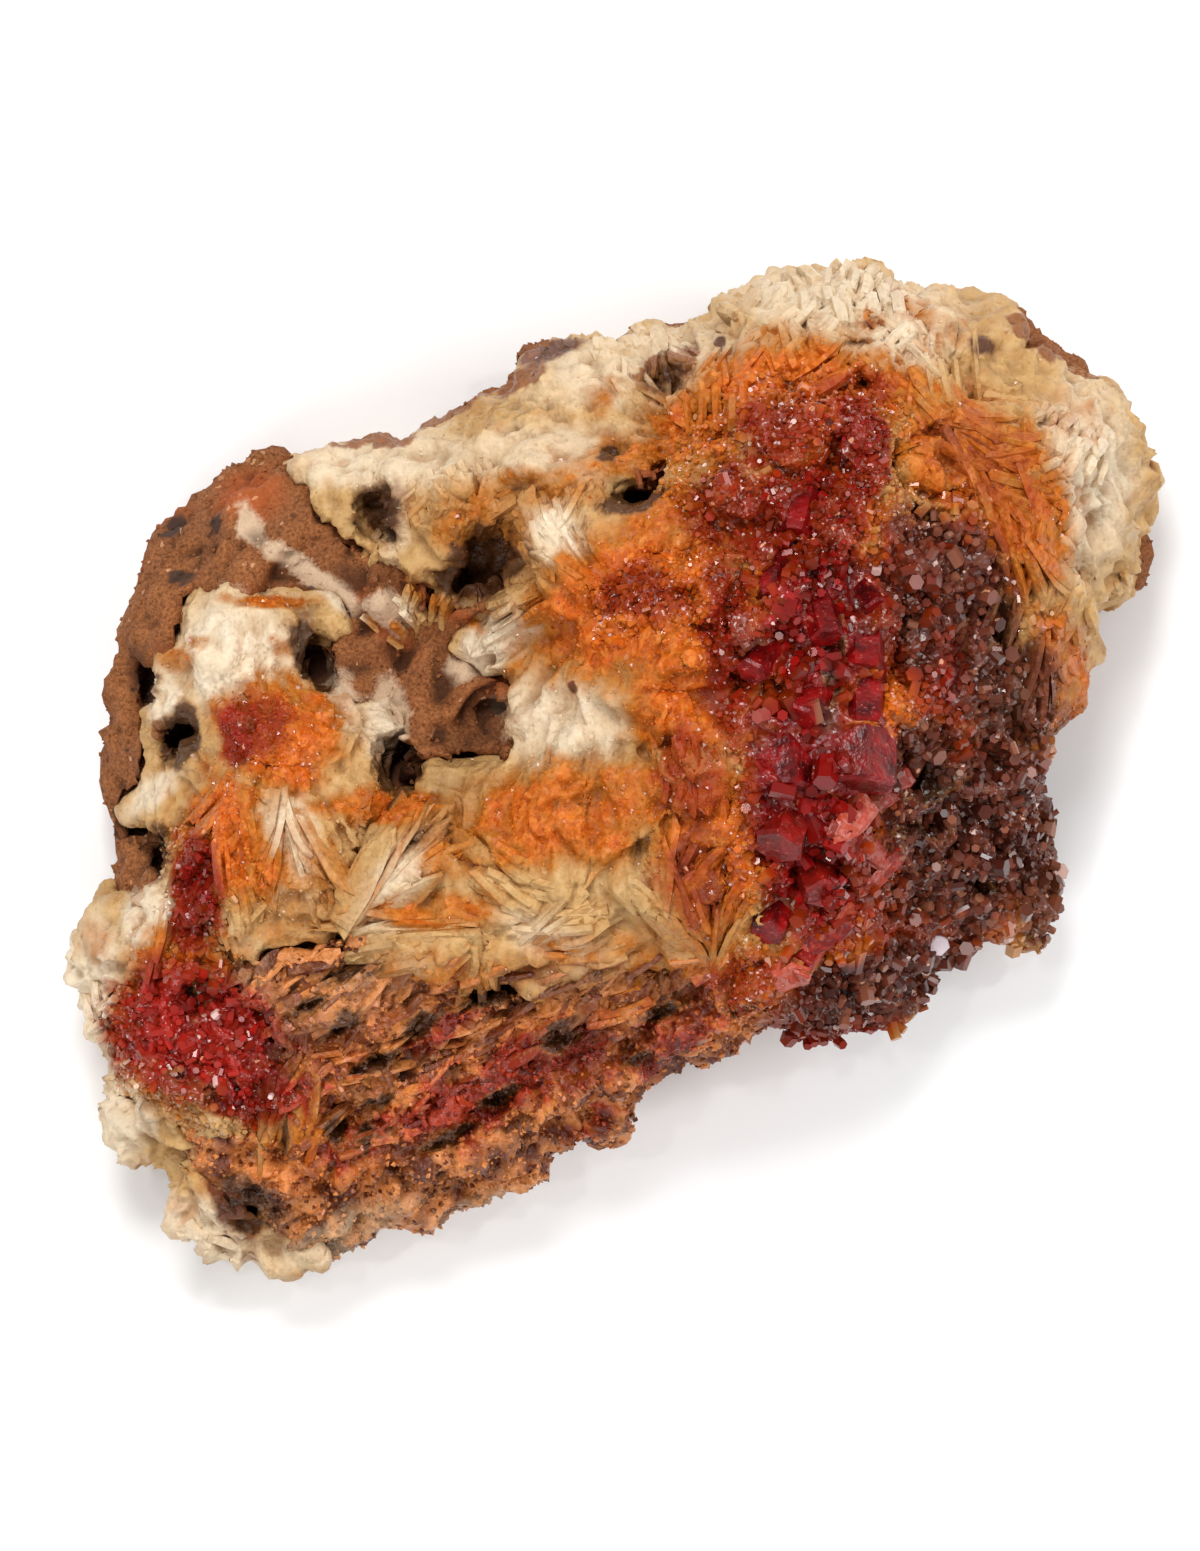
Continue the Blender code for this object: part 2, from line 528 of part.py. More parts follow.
def cut(base, cutter, operation):
    """Cut the thinned mass, whose finest ridges may cross, with one cutter, which is used up."""
    modifier = base.modifiers.new("cut", "BOOLEAN")
    modifier.operation = operation
    modifier.solver = "MANIFOLD"
    modifier.object = cutter
    apply_modifiers(base)
    bpy.data.objects.remove(cutter, do_unlink=True)


def combine(base, others, operation):
    """Join or cut a base object with others, which are used up."""
    group = bpy.data.collections.new("group")
    bpy.context.scene.collection.children.link(group)
    for other in others:
        bpy.context.scene.collection.objects.unlink(other)
        group.objects.link(other)
    modifier = base.modifiers.new("combine", "BOOLEAN")
    modifier.operation = operation
    modifier.solver = "EXACT"
    modifier.operand_type = "COLLECTION"
    modifier.collection = group
    apply_modifiers(base)
    for other in others:
        bpy.data.objects.remove(other, do_unlink=True)
    bpy.data.collections.remove(group)


def apply_modifiers(obj):
    """Keep what the modifiers make as the object's own mesh."""
    graph = bpy.context.evaluated_depsgraph_get()
    mesh = bpy.data.meshes.new_from_object(obj.evaluated_get(graph))
    obj.modifiers.clear()
    obj.data = mesh


def bed_height(x, y, depth):
    """Height of a growth's bed: a depth under the crown, falling with it to low on the sides."""
    return BED_RIM + (crown_height(x, y) - depth - BED_RIM) * edge_fall(outline_share(x, y))


def bed_cutter(name, border, depth, grow):
    """Everything above a growth's bed and inside its border, grown by an amount."""
    xs = [corner[0] for corner in border]
    ys = [corner[1] for corner in border]
    low_x = min(xs) - CUTTER_MARGIN
    low_y = min(ys) - CUTTER_MARGIN
    columns = math.ceil((max(xs) + CUTTER_MARGIN - low_x) / FLOOR_STEP)
    rows = math.ceil((max(ys) + CUTTER_MARGIN - low_y) / FLOOR_STEP)
    bm = bmesh.new()
    levels = []
    for top in (False, True):
        level = []
        for row in range(rows + 1):
            for column in range(columns + 1):
                x = low_x + column * FLOOR_STEP
                y = low_y + row * FLOOR_STEP
                z = CUTTER_TOP if top else bed_height(x, y, depth) - grow
                level.append(bm.verts.new((x, y, z)))
        levels.append(level)
    wide = columns + 1
    for level in levels:
        for row in range(rows):
            for column in range(columns):
                start = row * wide + column
                bm.faces.new((level[start], level[start + 1], level[start + wide + 1], level[start + wide]))
    boundary = [edge for edge in bm.edges if edge.is_boundary]
    bmesh.ops.bridge_loops(bm, edges=boundary)
    cutter = link_object(name + "_bed", bm)

    bm = bmesh.new()
    corners = offset_border(border, grow)
    lower = [bm.verts.new((x, y, FENCE_FOOT)) for x, y in corners]
    upper = [bm.verts.new((x, y, FENCE_TOP)) for x, y in corners]
    bm.faces.new(lower)
    bm.faces.new(upper)
    bridge_rings(bm, lower, upper)
    fence = link_object(name + "_fence", bm)
    combine(cutter, [fence], "INTERSECT")
    return cutter


def offset_border(border, distance):
    """A closed border moved outwards by a distance, corner by corner."""
    points = [Vector(corner) for corner in border]
    area = sum(a.x * b.y - b.x * a.y for a, b in zip(points, points[1:] + points[:1]))
    outward = 1.0 if area > 0 else -1.0
    moved = []
    for index, point in enumerate(points):
        before = (point - points[index - 1]).normalized()
        after = (points[(index + 1) % len(points)] - point).normalized()
        tangent = (before + after).normalized()
        normal = Vector((tangent.y, -tangent.x)) * outward
        stretch = 1.0 / max(0.4, math.sqrt(max(0.0, (1 + before.dot(after)) / 2)))
        moved.append(point + normal * distance * stretch)
    return moved


def keep_largest_body(obj):
    """Drop the crumbs that a cut leaves loose."""
    bm = bmesh.new()
    bm.from_mesh(obj.data)
    bm.faces.ensure_lookup_table()
    seen = set()
    bodies = []
    for face in bm.faces:
        if face in seen:
            continue
        body = [face]
        seen.add(face)
        for member in body:
            for edge in member.edges:
                for neighbour in edge.link_faces:
                    if neighbour not in seen:
                        seen.add(neighbour)
                        body.append(neighbour)
        bodies.append(body)
    bodies.sort(key=lambda body: sum(face.calc_area() for face in body))
    loose = [face for body in bodies[:-1] for face in body]
    bmesh.ops.delete(bm, geom=loose, context="FACES")
    bmesh.ops.triangulate(bm, faces=bm.faces[:])
    bm.to_mesh(obj.data)
    bm.free()


def thin_out(obj):
    """Bring a body down to its share of triangles, keeping its flat faces and ridges."""
    obj.modifiers.new("triangles", "TRIANGULATE")
    apply_modifiers(obj)
    thinner = obj.modifiers.new("thinner", "DECIMATE")
    thinner.ratio = SPECIMEN_TRIANGLES / len(obj.data.polygons)
    apply_modifiers(obj)


def level_back(obj):
    """Cut the back flat, and bring it to the ground."""
    bm = bmesh.new()
    bm.from_mesh(obj.data)
    everything = bm.verts[:] + bm.edges[:] + bm.faces[:]
    height = BACK_TRIM * MM
    bmesh.ops.bisect_plane(bm, geom=everything, plane_co=(0, 0, height), plane_no=(0, 0, 1), clear_inner=True)
    bmesh.ops.translate(bm, vec=(0, 0, -height), verts=bm.verts[:])
    rim = [edge for edge in bm.edges if edge.is_boundary]
    for edge in rim:
        for corner in edge.verts:
            corner.co.z = 0.0
    bmesh.ops.holes_fill(bm, edges=rim, sides=len(rim))
    bmesh.ops.recalc_face_normals(bm, faces=bm.faces[:])
    bm.to_mesh(obj.data)
    bm.free()


def grow_specimen():
    """The whole specimen as one faceted body."""
    draw = random.Random(SEED)
    specimen = grow_mass()
    crystals = []
    for fan in BARITE_FANS:
        crystals += grow_fan(fan, draw)
    crystals += grow_ledges(draw)
    crystals += grow_ribbon()
    crystals += grow_prisms(draw)
    crystals += grow_knobs(draw)
    combine(specimen, sink_pits(), "DIFFERENCE")
    combine(specimen, crystals, "UNION")
    thin_out(specimen)
    level_back(specimen)
    return specimen


def name_piece(obj, name):
    """Name a finished piece and give it its finish."""
    keep_largest_body(obj)
    obj.name = name
    obj.data.name = name
    obj.data.materials.clear()
    obj.data.materials.append(finish_material(name))


def part_growths(specimen):
    """Part the specimen along the growths' beds, from the outermost growth to the host rock."""
    for name, border, depth in GROWTHS:
        piece = specimen.copy()
        piece.data = specimen.data.copy()
        bpy.context.scene.collection.objects.link(piece)
        cut(piece, bed_cutter(name, border, depth, 0.0), "INTERSECT")
        cut(specimen, bed_cutter(name, border, depth, GAP), "DIFFERENCE")
        name_piece(piece, name)
    name_piece(specimen, HOST)


def main():
    clear_scene()
    part_growths(grow_specimen())


main()
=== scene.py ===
"""The finish of a vanadinite on barite specimen: skins, blades, crystals and grains."""

import itertools
import math
from typing import NamedTuple

import bmesh
import bpy
import numpy as np
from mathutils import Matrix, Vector
from mathutils.bvhtree import BVHTree


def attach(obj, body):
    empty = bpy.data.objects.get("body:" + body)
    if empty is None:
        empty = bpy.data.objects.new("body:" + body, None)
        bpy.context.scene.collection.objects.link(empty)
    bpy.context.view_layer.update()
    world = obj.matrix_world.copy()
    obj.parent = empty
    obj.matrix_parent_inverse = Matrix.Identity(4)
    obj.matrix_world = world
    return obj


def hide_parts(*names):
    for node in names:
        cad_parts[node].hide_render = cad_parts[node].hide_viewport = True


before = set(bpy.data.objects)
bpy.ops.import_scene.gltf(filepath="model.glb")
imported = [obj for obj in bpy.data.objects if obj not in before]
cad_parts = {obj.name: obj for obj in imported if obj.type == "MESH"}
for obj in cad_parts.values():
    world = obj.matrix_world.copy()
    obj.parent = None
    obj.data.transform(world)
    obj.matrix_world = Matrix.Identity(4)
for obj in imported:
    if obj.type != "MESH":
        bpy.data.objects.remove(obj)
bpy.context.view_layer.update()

bl_info = {
    "name": "Vanadinite on Barite",
    "version": (1, 0, 0),
    "blender": (4, 5, 0),
    "location": "View3D > Sidebar > Specimen",
    "description": "Dresses the solids of a mineral specimen with surfaces and crystals",
    "category": "Object",
}

MM = 0.001
BODY = "root"

# The camera: the photograph's frame is this tall where the specimen is, seen from straight above
FRAME_HEIGHT = 0.1281
CAMERA_DISTANCE = 0.9
SUBJECT_HEIGHT = 0.018
SENSOR = 36.0

# The studio: the floor's side and its gap under the specimen, the brightness of the surrounding,
# then each light's name, place, size and power
FLOOR_SIDE = 3.0
FLOOR_GAP = 0.0001
SURROUND = 0.42
LIGHTS = (
    ("key", (-0.12, 0.50, 0.80), 0.30, 5.2),
    ("fill", (-0.35, -0.45, 0.60), 0.35, 2.0),
    ("flank", (0.60, 0.10, 0.45), 0.30, 1.8),
    ("glint_right", (0.35, 0.25, 0.80), 0.04, 0.5),
    ("glint_left", (-0.30, 0.10, 0.90), 0.04, 0.5),
    ("glint_near", (0.10, -0.35, 0.90), 0.04, 0.4),
)

# How near two corners of a solid are one, in metres
MERGE_DISTANCE = 1e-7

# All lengths from here on are in millimetres. The warp that all skins share, so that their straight
# borders wander together, and its share along each axis
WARP_SCALE = 5.0
WARP_SHARES = (1.0, 1.0, 0.5)

# All detail is pressed down above the ceiling, and fades out near the flat back
CEILING = 39.0
CEILING_PRESS = 0.55
BASE_HEIGHT = 3.0

# How far all skins swell, so that the hairline gaps between the solids close, and how deep they
# lie under the large prisms
INFLATE = 0.12
BARE_DEPTH = 0.5

# First numbers of the noise patterns
LUMP_SEED = 3
TONE_SEED = 9
WARP_SEED = 21
RIDGE_SEED = 71
FINE_RIDGE_SEED = 171
PRISM_SEED = 81
COARSE_SEED = 91

# Large odd numbers that scramble a lattice point into a random value
SCRAMBLE = (73856093, 19349663, 83492791)
SCRAMBLE_SEED = 2654435
SCRAMBLE_AGAIN = 1274126177

# Where the ray that finds the ground starts
ABOVE = 80.0


class Skin(NamedTuple):
    """How one solid is skinned; a lump has a scale, a depth and whether it is sharp."""

    finish: str
    slot: str
    voxel: float
    refined: bool
    ridge_depth: float
    lumps: tuple


SKINS = {
    "host_rock": Skin(
        "rock", "host_rock", 0.74, False, 0.0,
        ((6.0, 1.0, False), (2.8, 0.8, True), (1.5, 0.5, True), (0.9, 0.2, False)),
    ),
    "barite_crest": Skin(
        "barite", "cream_barite", 0.70, True, 0.9,
        ((5.0, 1.0, False), (2.6, 0.8, True), (1.2, 0.32, True), (0.6, 0.14, False)),
    ),
    "barite_centre": Skin(
        "barite", "orange_barite", 0.66, True, 1.1,
        ((5.0, 0.9, False), (2.2, 0.5, True), (0.9, 0.25, False)),
    ),
    "barite_left": Skin(
        "barite", "white_barite", 0.62, True, 0.8,
        ((5.0, 0.9, False), (2.4, 0.6, True), (1.0, 0.3, True), (0.6, 0.15, False)),
    ),
    "barite_rim": Skin(
        "barite", "white_barite", 0.62, True, 0.5,
        ((5.0, 1.0, False), (2.2, 0.8, True), (1.0, 0.4, True), (0.6, 0.2, False)),
    ),
    "barite_ledges": Skin(
        "ledge", "brown_barite", 0.62, True, 1.1,
        ((4.0, 0.9, False), (2.2, 1.1, True), (1.1, 0.6, True)),
    ),
    "vanadinite_band": Skin(
        "vanadinite", "vanadinite", 0.62, True, 0.5,
        ((4.0, 1.0, False), (2.0, 1.0, True), (0.9, 0.4, False)),
    ),
    "vanadinite_patch": Skin(
        "vanadinite", "vanadinite", 0.62, True, 0.4,
        ((4.0, 1.0, False), (2.0, 1.0, True), (0.9, 0.4, False)),
    ),
    "dark_druse": Skin(
        "druse", "dark_vanadinite", 0.62, True, 0.3,
        ((4.0, 1.2, False), (2.2, 1.3, True), (1.0, 0.5, False)),
    ),
}

# How wide and long one ridge of a skin is, and over what height it changes
RIDGE_WIDTH = 1.0
RIDGE_LENGTH = 6.0
RIDGE_HEIGHT = 3.0

# Which way the blades run: x, y, heading in degrees, distance back to where they meet, reach
FLOWS = (
    (-18, 26, 12, 40, 5.0), (-8, 27, 24, 30, 4.0), (-3, 33, 118, 16, 4.0), (4, 33, 104, 14, 4.0),
    (10, 37, 100, 12, 5.0), (19, 38, 84, 12, 5.0), (26, 36, 62, 14, 4.0), (33, 33, 40, 16, 4.0),
    (40, 30, 350, 16, 4.0), (41, 22, 300, 18, 5.0), (38, 13, 280, 20, 5.0), (34, 24, 320, 12, 4.0),
    (27, 29, 20, 10, 4.0), (22, 31, 80, 8, 3.5), (-12, 20, 250, 14, 3.5), (-3, 21, 230, 16, 3.5),
    (3, 26, 200, 14, 3.5), (-3, 17, 140, 10, 3.0), (-8, 12, 205, 14, 2.5), (2, 14, 90, 7, 3.5),
    (7, 10, 20, 8, 3.0), (8, 3, 300, 12, 3.0), (-3, 5, 250, 10, 4.0), (-2, -2, 262, 12, 4.0),
    (-4, -8, 265, 16, 3.5), (5, -8, 100, 7, 3.5), (10, -9, 80, 8, 3.5), (-8, -9, 320, 12, 3.5),
    (-16, -8, 50, 10, 4.0), (-20, -12, 190, 20, 3.0), (-13, -13, 184, 30, 3.0),
    (-4, -14, 190, 30, 3.5), (-28, 9, 110, 18, 5.0), (-20, 5, 290, 12, 3.0), (-26, 0, 275, 9, 3.5),
    (-23, -6, 285, 12, 4.0), (-31, -5, 250, 12, 4.0), (-34, -10, 260, 14, 4.0),
    (-33, -20, 250, 14, 4.0), (-28, -25, 290, 14, 4.0), (-20, -19, 26, 60, 4.0),
    (-10, -19, 24, 60, 4.0), (0, -19, 22, 60, 4.0), (9, -18, 26, 60, 4.0), (-20, -27, 30, 60, 4.0),
    (-10, -26, 28, 60, 4.0), (0, -25, 30, 60, 4.0), (-24, -34, 24, 60, 4.0),
    (-14, -33, 26, 60, 4.0), (-4, -30, 30, 60, 4.0), (-41, -18, 262, 30, 4.0),
    (-39, -29, 290, 30, 4.0), (-33, -38, 320, 30, 4.0), (16, 29, 95, 10, 4.0),
    (12, 24, 130, 10, 3.5), (21, 24, 60, 9, 3.5), (17, 17, 265, 16, 4.0), (17, 7, 268, 20, 4.0),
    (16, -5, 265, 20, 4.0), (14, -15, 240, 20, 3.5),
)

# Painted masks: x, y, reach along, reach across, turn in degrees, strength. A spot ends at this
# share of its reach, and fades over the last part
SPOT_END = 1.3
SPOT_FADE = 0.7
ORANGE_SPOTS = (
    (-18, -2.6, 6, 1.5, 0, 0.8), (-29, -6.4, 3.4, 4.4, 0, 0.8), (-24.4, 2, 3, 4, 0, 0.9),
    (-23, -21, 6, 3.6, 28, 0.8), (-20, -31, 7, 2.6, 28, 0.8), (24.6, 4.5, 2.6, 6, 0, 1.0),
    (22.6, -13.4, 5, 1.2, 18, 1.0), (14.0, 36, 2, 1, 0, 0.5), (22, 37, 1.2, 1, 0, 0.6),
    (-33, 11, 1.2, 0.8, 0, 0.5), (-26, 10.6, 1, 1, 0, 0.4), (0, 31, 2, 1.2, 60, 0.4),
    (26, 38, 3, 1.4, -40, 0.45), (24.6, 4, 4.4, 18, 0, 1.0), (22, -12, 8, 7, 0, 0.9),
    (30, -10, 8, 7, 0, 0.8), (36, -6, 4, 9, 0, 0.8), (20, -21, 9, 4, 25, 0.9),
    (6, 20, 4, 4, 0, 0.8), (36, 2, 4, 6, 0, 0.8), (3, 14, 9.5, 6.5, 20, 1.0),
    (-26, 3.4, 5.5, 4.5, 0, 1.0), (7, 8, 5, 8, 0, 1.0), (-2, -3, 10, 4.4, 8, 0.85),
    (-31, -4, 4, 5, 0, 1.0), (9, -6, 5, 8, 0, 0.95), (-14, -11, 6, 1.6, 0, 0.7),
    (17, 31, 10, 4.6, 0, 0.95), (8, 28, 5, 4, 30, 0.8), (29, 26, 6, 6, -30, 0.8),
    (34.6, 21, 4.6, 8, 0, 0.72), (38, 8, 3, 6, 10, 0.75), (-12, -5, 5, 3, 30, 0.5),
    (-24, -9, 6, 5, 0, 0.35), (-28.6, -7, 2.4, 3, 0, 0.7), (-29, 23, 3, 1.6, 0, 0.9),
    (-18, 13, 4, 1, -50, 0.6), (-13, 14, 4, 1.0, -30, 0.6), (-7, 8.4, 4.0, 0.8, 35, 0.5),
    (-27, 14.3, 4, 0.6, 0, 0.8), (-7, 23, 9, 2, 8, 0.5), (-10, 20, 5, 2.4, 0, 0.55),
    (3, 26, 6, 2.4, 10, 0.6), (38, 29, 4, 3, 0, 0.25), (28, 36, 3, 2, 0, 0.3),
    (-36, 22, 2, 1, 0, 0.4), (-28.5, 23.6, 2.4, 1.6, 0, 0.9), (18, 10, 7, 22, 0, 1.0),
    (0, -15, 20, 2.4, 10, 0.45), (-20, -29, 14, 5, 28, 0.7), (-2, -22, 14, 5, 28, 0.8),
    (-35, 9.5, 1.6, 1, 0, 0.6), (-40, -38, 3, 2, 0, 0.3), (-42, -14, 2, 2, 0, 0.3),
    (31, 16, 5, 8, 0, 0.7), (-34, -20, 6.2, 8, 0, 1.0), (-20, -20, 10, 4, 28, 0.6),
    (12, -18, 7, 4, 28, 0.8), (14, 35, 4, 2, 0, 0.35),
)
RED_SPOTS = (
    (-8, -25.4, 11, 3.6, 28, 0.85), (8, -19.6, 8, 2.6, 28, 0.55), (-20, -30, 5, 2, 28, 0.55),
    (-13, -21, 5, 1.2, 28, 0.7), (25.0, 14, 3.6, 8, 4, 0.75), (21, -9, 4, 4, 0, 0.75),
    (27, -12, 7, 6, 0, 0.6), (20, -21, 8, 3, 25, 0.8), (3.6, 14.4, 4.4, 3.0, -10, 0.56),
    (-28, 3.6, 3.4, 3.2, 0, 0.5), (10.5, 10, 2.6, 9, 0, 0.75), (17, -2, 5.6, 13, 6, 1.0),
    (18, 12, 5.4, 9, 0, 0.95), (16, 21, 6.4, 5.4, 0, 0.8), (10.5, 22, 4.6, 4, 20, 0.6),
    (21, 26, 3, 6, 0, 0.8), (15, 28, 5, 3.4, 0, 0.65), (20.3, 31, 4, 2.2, 0, 0.5),
    (-33.4, -9.4, 2.6, 5.4, 0, 0.85), (-29.4, 3.8, 2.0, 3.2, 0, 0.75), (-33, -21, 8, 6, -10, 1.0),
    (-28, -26, 5, 3, 0, 0.9), (-6, -23, 9, 3, 25, 0.5), (-14, -27, 9, 3, 28, 0.45),
    (10, -18, 7, 3, 28, 0.55), (4, -23, 7, 2.4, 28, 0.6), (7.4, 0, 3, 5, 0, 0.5),
    (7.6, -9, 3.4, 5, 0, 0.5), (33, 23, 5, 5, 0, 0.36), (29, 12, 5, 10, 0, 0.8),
    (30, -4, 9, 10, 0, 0.7), (22, -18, 10, 4, 25, 0.8), (-20, -23, 6, 2, 28, 0.4),
    (0, -29, 5, 2, 28, 0.5),
)
DARK_SPOTS = (
    (37, -9, 3.4, 6, 0, 0.9), (26.0, 14, 2.4, 8, 4, 0.6), (36, -4, 3.4, 8, 0, 0.75),
    (23.6, -9.6, 1.6, 3, 20, 0.5), (31, 14, 3.6, 8, 10, 0.75), (34, 6, 4.6, 6, 0, 0.9),
    (30, -5, 7, 8, 0, 1.0), (24, -17, 10, 3.4, 20, 0.85), (26.4, 0, 3, 4.6, 0, 1.0),
    (26, 18, 3, 5, 0, 0.6), (-29.6, -35.6, 3.6, 2.4, -20, 1.0), (-35.4, 20.8, 1.4, 0.8, 40, 0.9),
    (-34.6, 16.4, 1.1, 0.8, 0, 1.0), (-31.8, 20.6, 0.7, 0.7, 0, 0.8), (-2.2, 7.2, 0.5, 0.5, 0, 1.0),
    (10, 35.6, 0.5, 0.5, 0, 1.0), (-4.4, 35, 3, 0.9, 20, 0.8), (31.4, 35.3, 1.2, 0.8, 0, 0.9),
    (2, -20, 9, 2, 28, 0.3), (-3, -16.6, 9, 1.4, 8, 0.42), (2.4, -17.6, 6, 2.4, 10, 0.42),
    (-24, -21, 6, 2.4, 30, 0.3), (-17, -25, 6, 1.2, 30, 0.5), (-38.2, 9, 1.4, 2.2, 0, 0.5),
    (22, 37, 0.9, 0.5, 0, 0.6), (-9.6, 16.4, 3.4, 2.4, 20, 0.5), (-9, 4.2, 2.2, 2.6, 0, 0.3),
    (18.6, 6, 1.2, 3, 0, 0.7), (30, 27, 5, 5, 0, 0.34), (8, -8, 3.4, 5, 0, 0.4),
    (-28, -39, 5, 1.6, 0, 0.36), (5, 33, 1.2, 0.8, 30, 0.4), (-17.6, 22, 2, 2, 0, 0.5),
    (12.6, 9.6, 1.4, 2, 40, 0.6),
)
PALE_SPOTS = (
    (-21, -18.4, 7, 2.2, 24, 0.4), (-33, -20, 6, 7, 0, 0.55), (-26, -5.4, 2.8, 4.6, 0, 0.8),
    (-42.4, -17, 3, 5, 0, 1.0), (-8.4, 10.8, 4.4, 2.0, 28, 1.0), (0, -17, 8, 2.2, 16, 0.15),
    (-38.0, -11.6, 1.5, 3.4, -20, 1.0), (-29.6, -2.6, 0.9, 2.8, 10, 0.9), (-30, 10, 5, 5, 0, 1.0),
    (-22, 5.6, 2.4, 3, 0, 1.0), (-36, 6, 1.6, 3, 10, 1.0), (-37, -1.6, 3, 1.4, 40, 1.0),
    (-17.4, 5, 2, 4, 0, 1.0), (-18, 26, 8, 2.6, 4, 0.8), (-5, 26.5, 8, 2.4, 4, 0.6),
    (-17, 22, 1.2, 4, 0, 0.8), (-3.4, 4.6, 5.0, 4, 0, 0.85), (-3.4, 19.6, 2.4, 2.4, 0, 1.0),
    (-8, 11.2, 4.4, 1.5, 25, 1.0), (-17, 13.6, 1.2, 2, 30, 0.9), (20, 39.4, 9, 3.2, 0, 0.85),
    (24, 36, 5, 4, 30, 0.9), (40, 25, 4, 8, 0, 0.9), (-36.8, -12.6, 1.4, 3.4, -20, 1.0),
    (-42, -19, 2.4, 8, 5, 0.95), (-40, -29, 2.6, 4, 0, 0.95), (-33, -38, 7, 2.6, -24, 0.8),
    (-22, -38.4, 7, 1.6, 22, 0.6), (-17, -10, 4, 2, 40, 0.6), (-30, -3, 1.4, 2.6, 0, 0.7),
    (-4, -13.6, 5, 1.6, -20, 0.5), (-28.8, 20.6, 1.3, 3, 24, 1.0),
    (-24.6, 17.2, 4.8, 1.2, -30, 1.0), (-20.6, 14.2, 3.4, 1.0, -26, 0.9), (2, 34, 8, 3, 15, 0.7),
    (-10, -36, 5, 1.2, 25, 0.4), (10, 33, 6, 3, 20, 0.5), (-16, -7, 4, 1.4, 50, 0.8),
)

ROCK_SPOTS = (
    (5.4, 33.4, 3.2, 1.8, 30, 0.75), (-10.6, 4.2, 2.0, 3.0, 0, 0.6), (-15.5, 29.6, 7, 1.5, 22, 1.0),
    (-24, 28.6, 5, 0.7, 8, 0.9), (-6.6, 32.6, 3, 1.0, 26, 0.8), (-9.5, 17.4, 3.2, 2.2, 25, 0.7),
    (36.4, 36.6, 3.0, 1.8, -35, 1.0), (-36, 3.4, 1.2, 1.8, 0, 0.8),
    (-27.5, 19.6, 3.0, 1.4, -25, 0.7), (38.5, 4, 1.4, 5, 0, 0.5), (-34, -25.5, 4, 1.4, -20, 0.5),
)
# Holes: x, y, reach along, reach across, turn, strength. They are pressed into the skins, and
# painted dark there as shade
HOLLOW_SPOTS = (
    (-21.1, -20.2, 1.3, 0.8, 30, 0.9), (-14.8, -20.6, 1.7, 0.7, 20, 1.0),
    (-3.2, -21.8, 1.6, 0.8, 20, 0.8), (-18.3, -26.9, 1.4, 0.5, 20, 0.9),
    (-21.7, -29.2, 0.6, 1.6, 0, 0.8), (-19.4, -30.0, 0.6, 1.6, -10, 0.8),
    (-8.4, -26.6, 1.8, 0.7, 28, 0.9), (3.0, -23.4, 1.2, 0.5, 20, 0.8),
    (-25.9, -29.8, 0.5, 1.6, 0, 0.8), (-34.7, 3.2, 1.5, 2.6, -20, 1.0),
    (-38, 8.6, 1.4, 2.8, 10, 0.9), (-24.0, 9.6, 1.3, 3.2, 25, 1.0), (-16.6, 0.6, 1.8, 2.2, 0, 0.9),
    (-17.8, 21.9, 1.8, 2.6, 20, 0.8), (-9.9, 17.2, 3.6, 2.6, 25, 1.0),
    (2.6, 22.4, 3.0, 0.9, 12, 0.9), (0.6, 26.4, 0.9, 0.7, 0, 0.8), (5.4, 32.6, 2.2, 1.4, 30, 0.6),
    (19.0, 9.6, 0.9, 3.6, 0, 0.8), (17.6, -1.6, 1.2, 0.9, 0, 0.7), (27.6, -0.6, 2.2, 1.6, 20, 0.9),
    (26.6, -4.6, 2.6, 0.8, 0, 0.8), (31.6, -9.8, 1.2, 0.9, 0, 0.9), (34.6, -9.4, 0.9, 0.7, 0, 0.9),
    (33.0, 12.0, 0.9, 3.0, 0, 0.7), (-9.0, -18.4, 2.6, 0.7, 20, 0.8), (-19, -24, 2.6, 0.7, 30, 0.8),
    (-3, -20.5, 2.0, 0.5, 20, 0.7), (5, -19.5, 2.0, 0.5, 20, 0.7), (-24, -19, 2.0, 0.6, 30, 0.6),
    (-13, -30, 2.4, 0.5, 30, 0.7), (-36.6, -6.4, 1.2, 2.6, 0, 0.7), (-33, -18, 1.2, 2.2, 0, 0.5),
    (-20.6, -16.4, 3.0, 0.6, 10, 0.7), (-14.6, -5.0, 0.5, 2.0, -40, 0.6),
    (-29.4, -37.6, 1.4, 1.4, 0, 0.6), (12.4, -19.0, 2.0, 0.5, 20, 0.6),
    (21, 35.4, 1.2, 0.4, 0, 0.6),
)

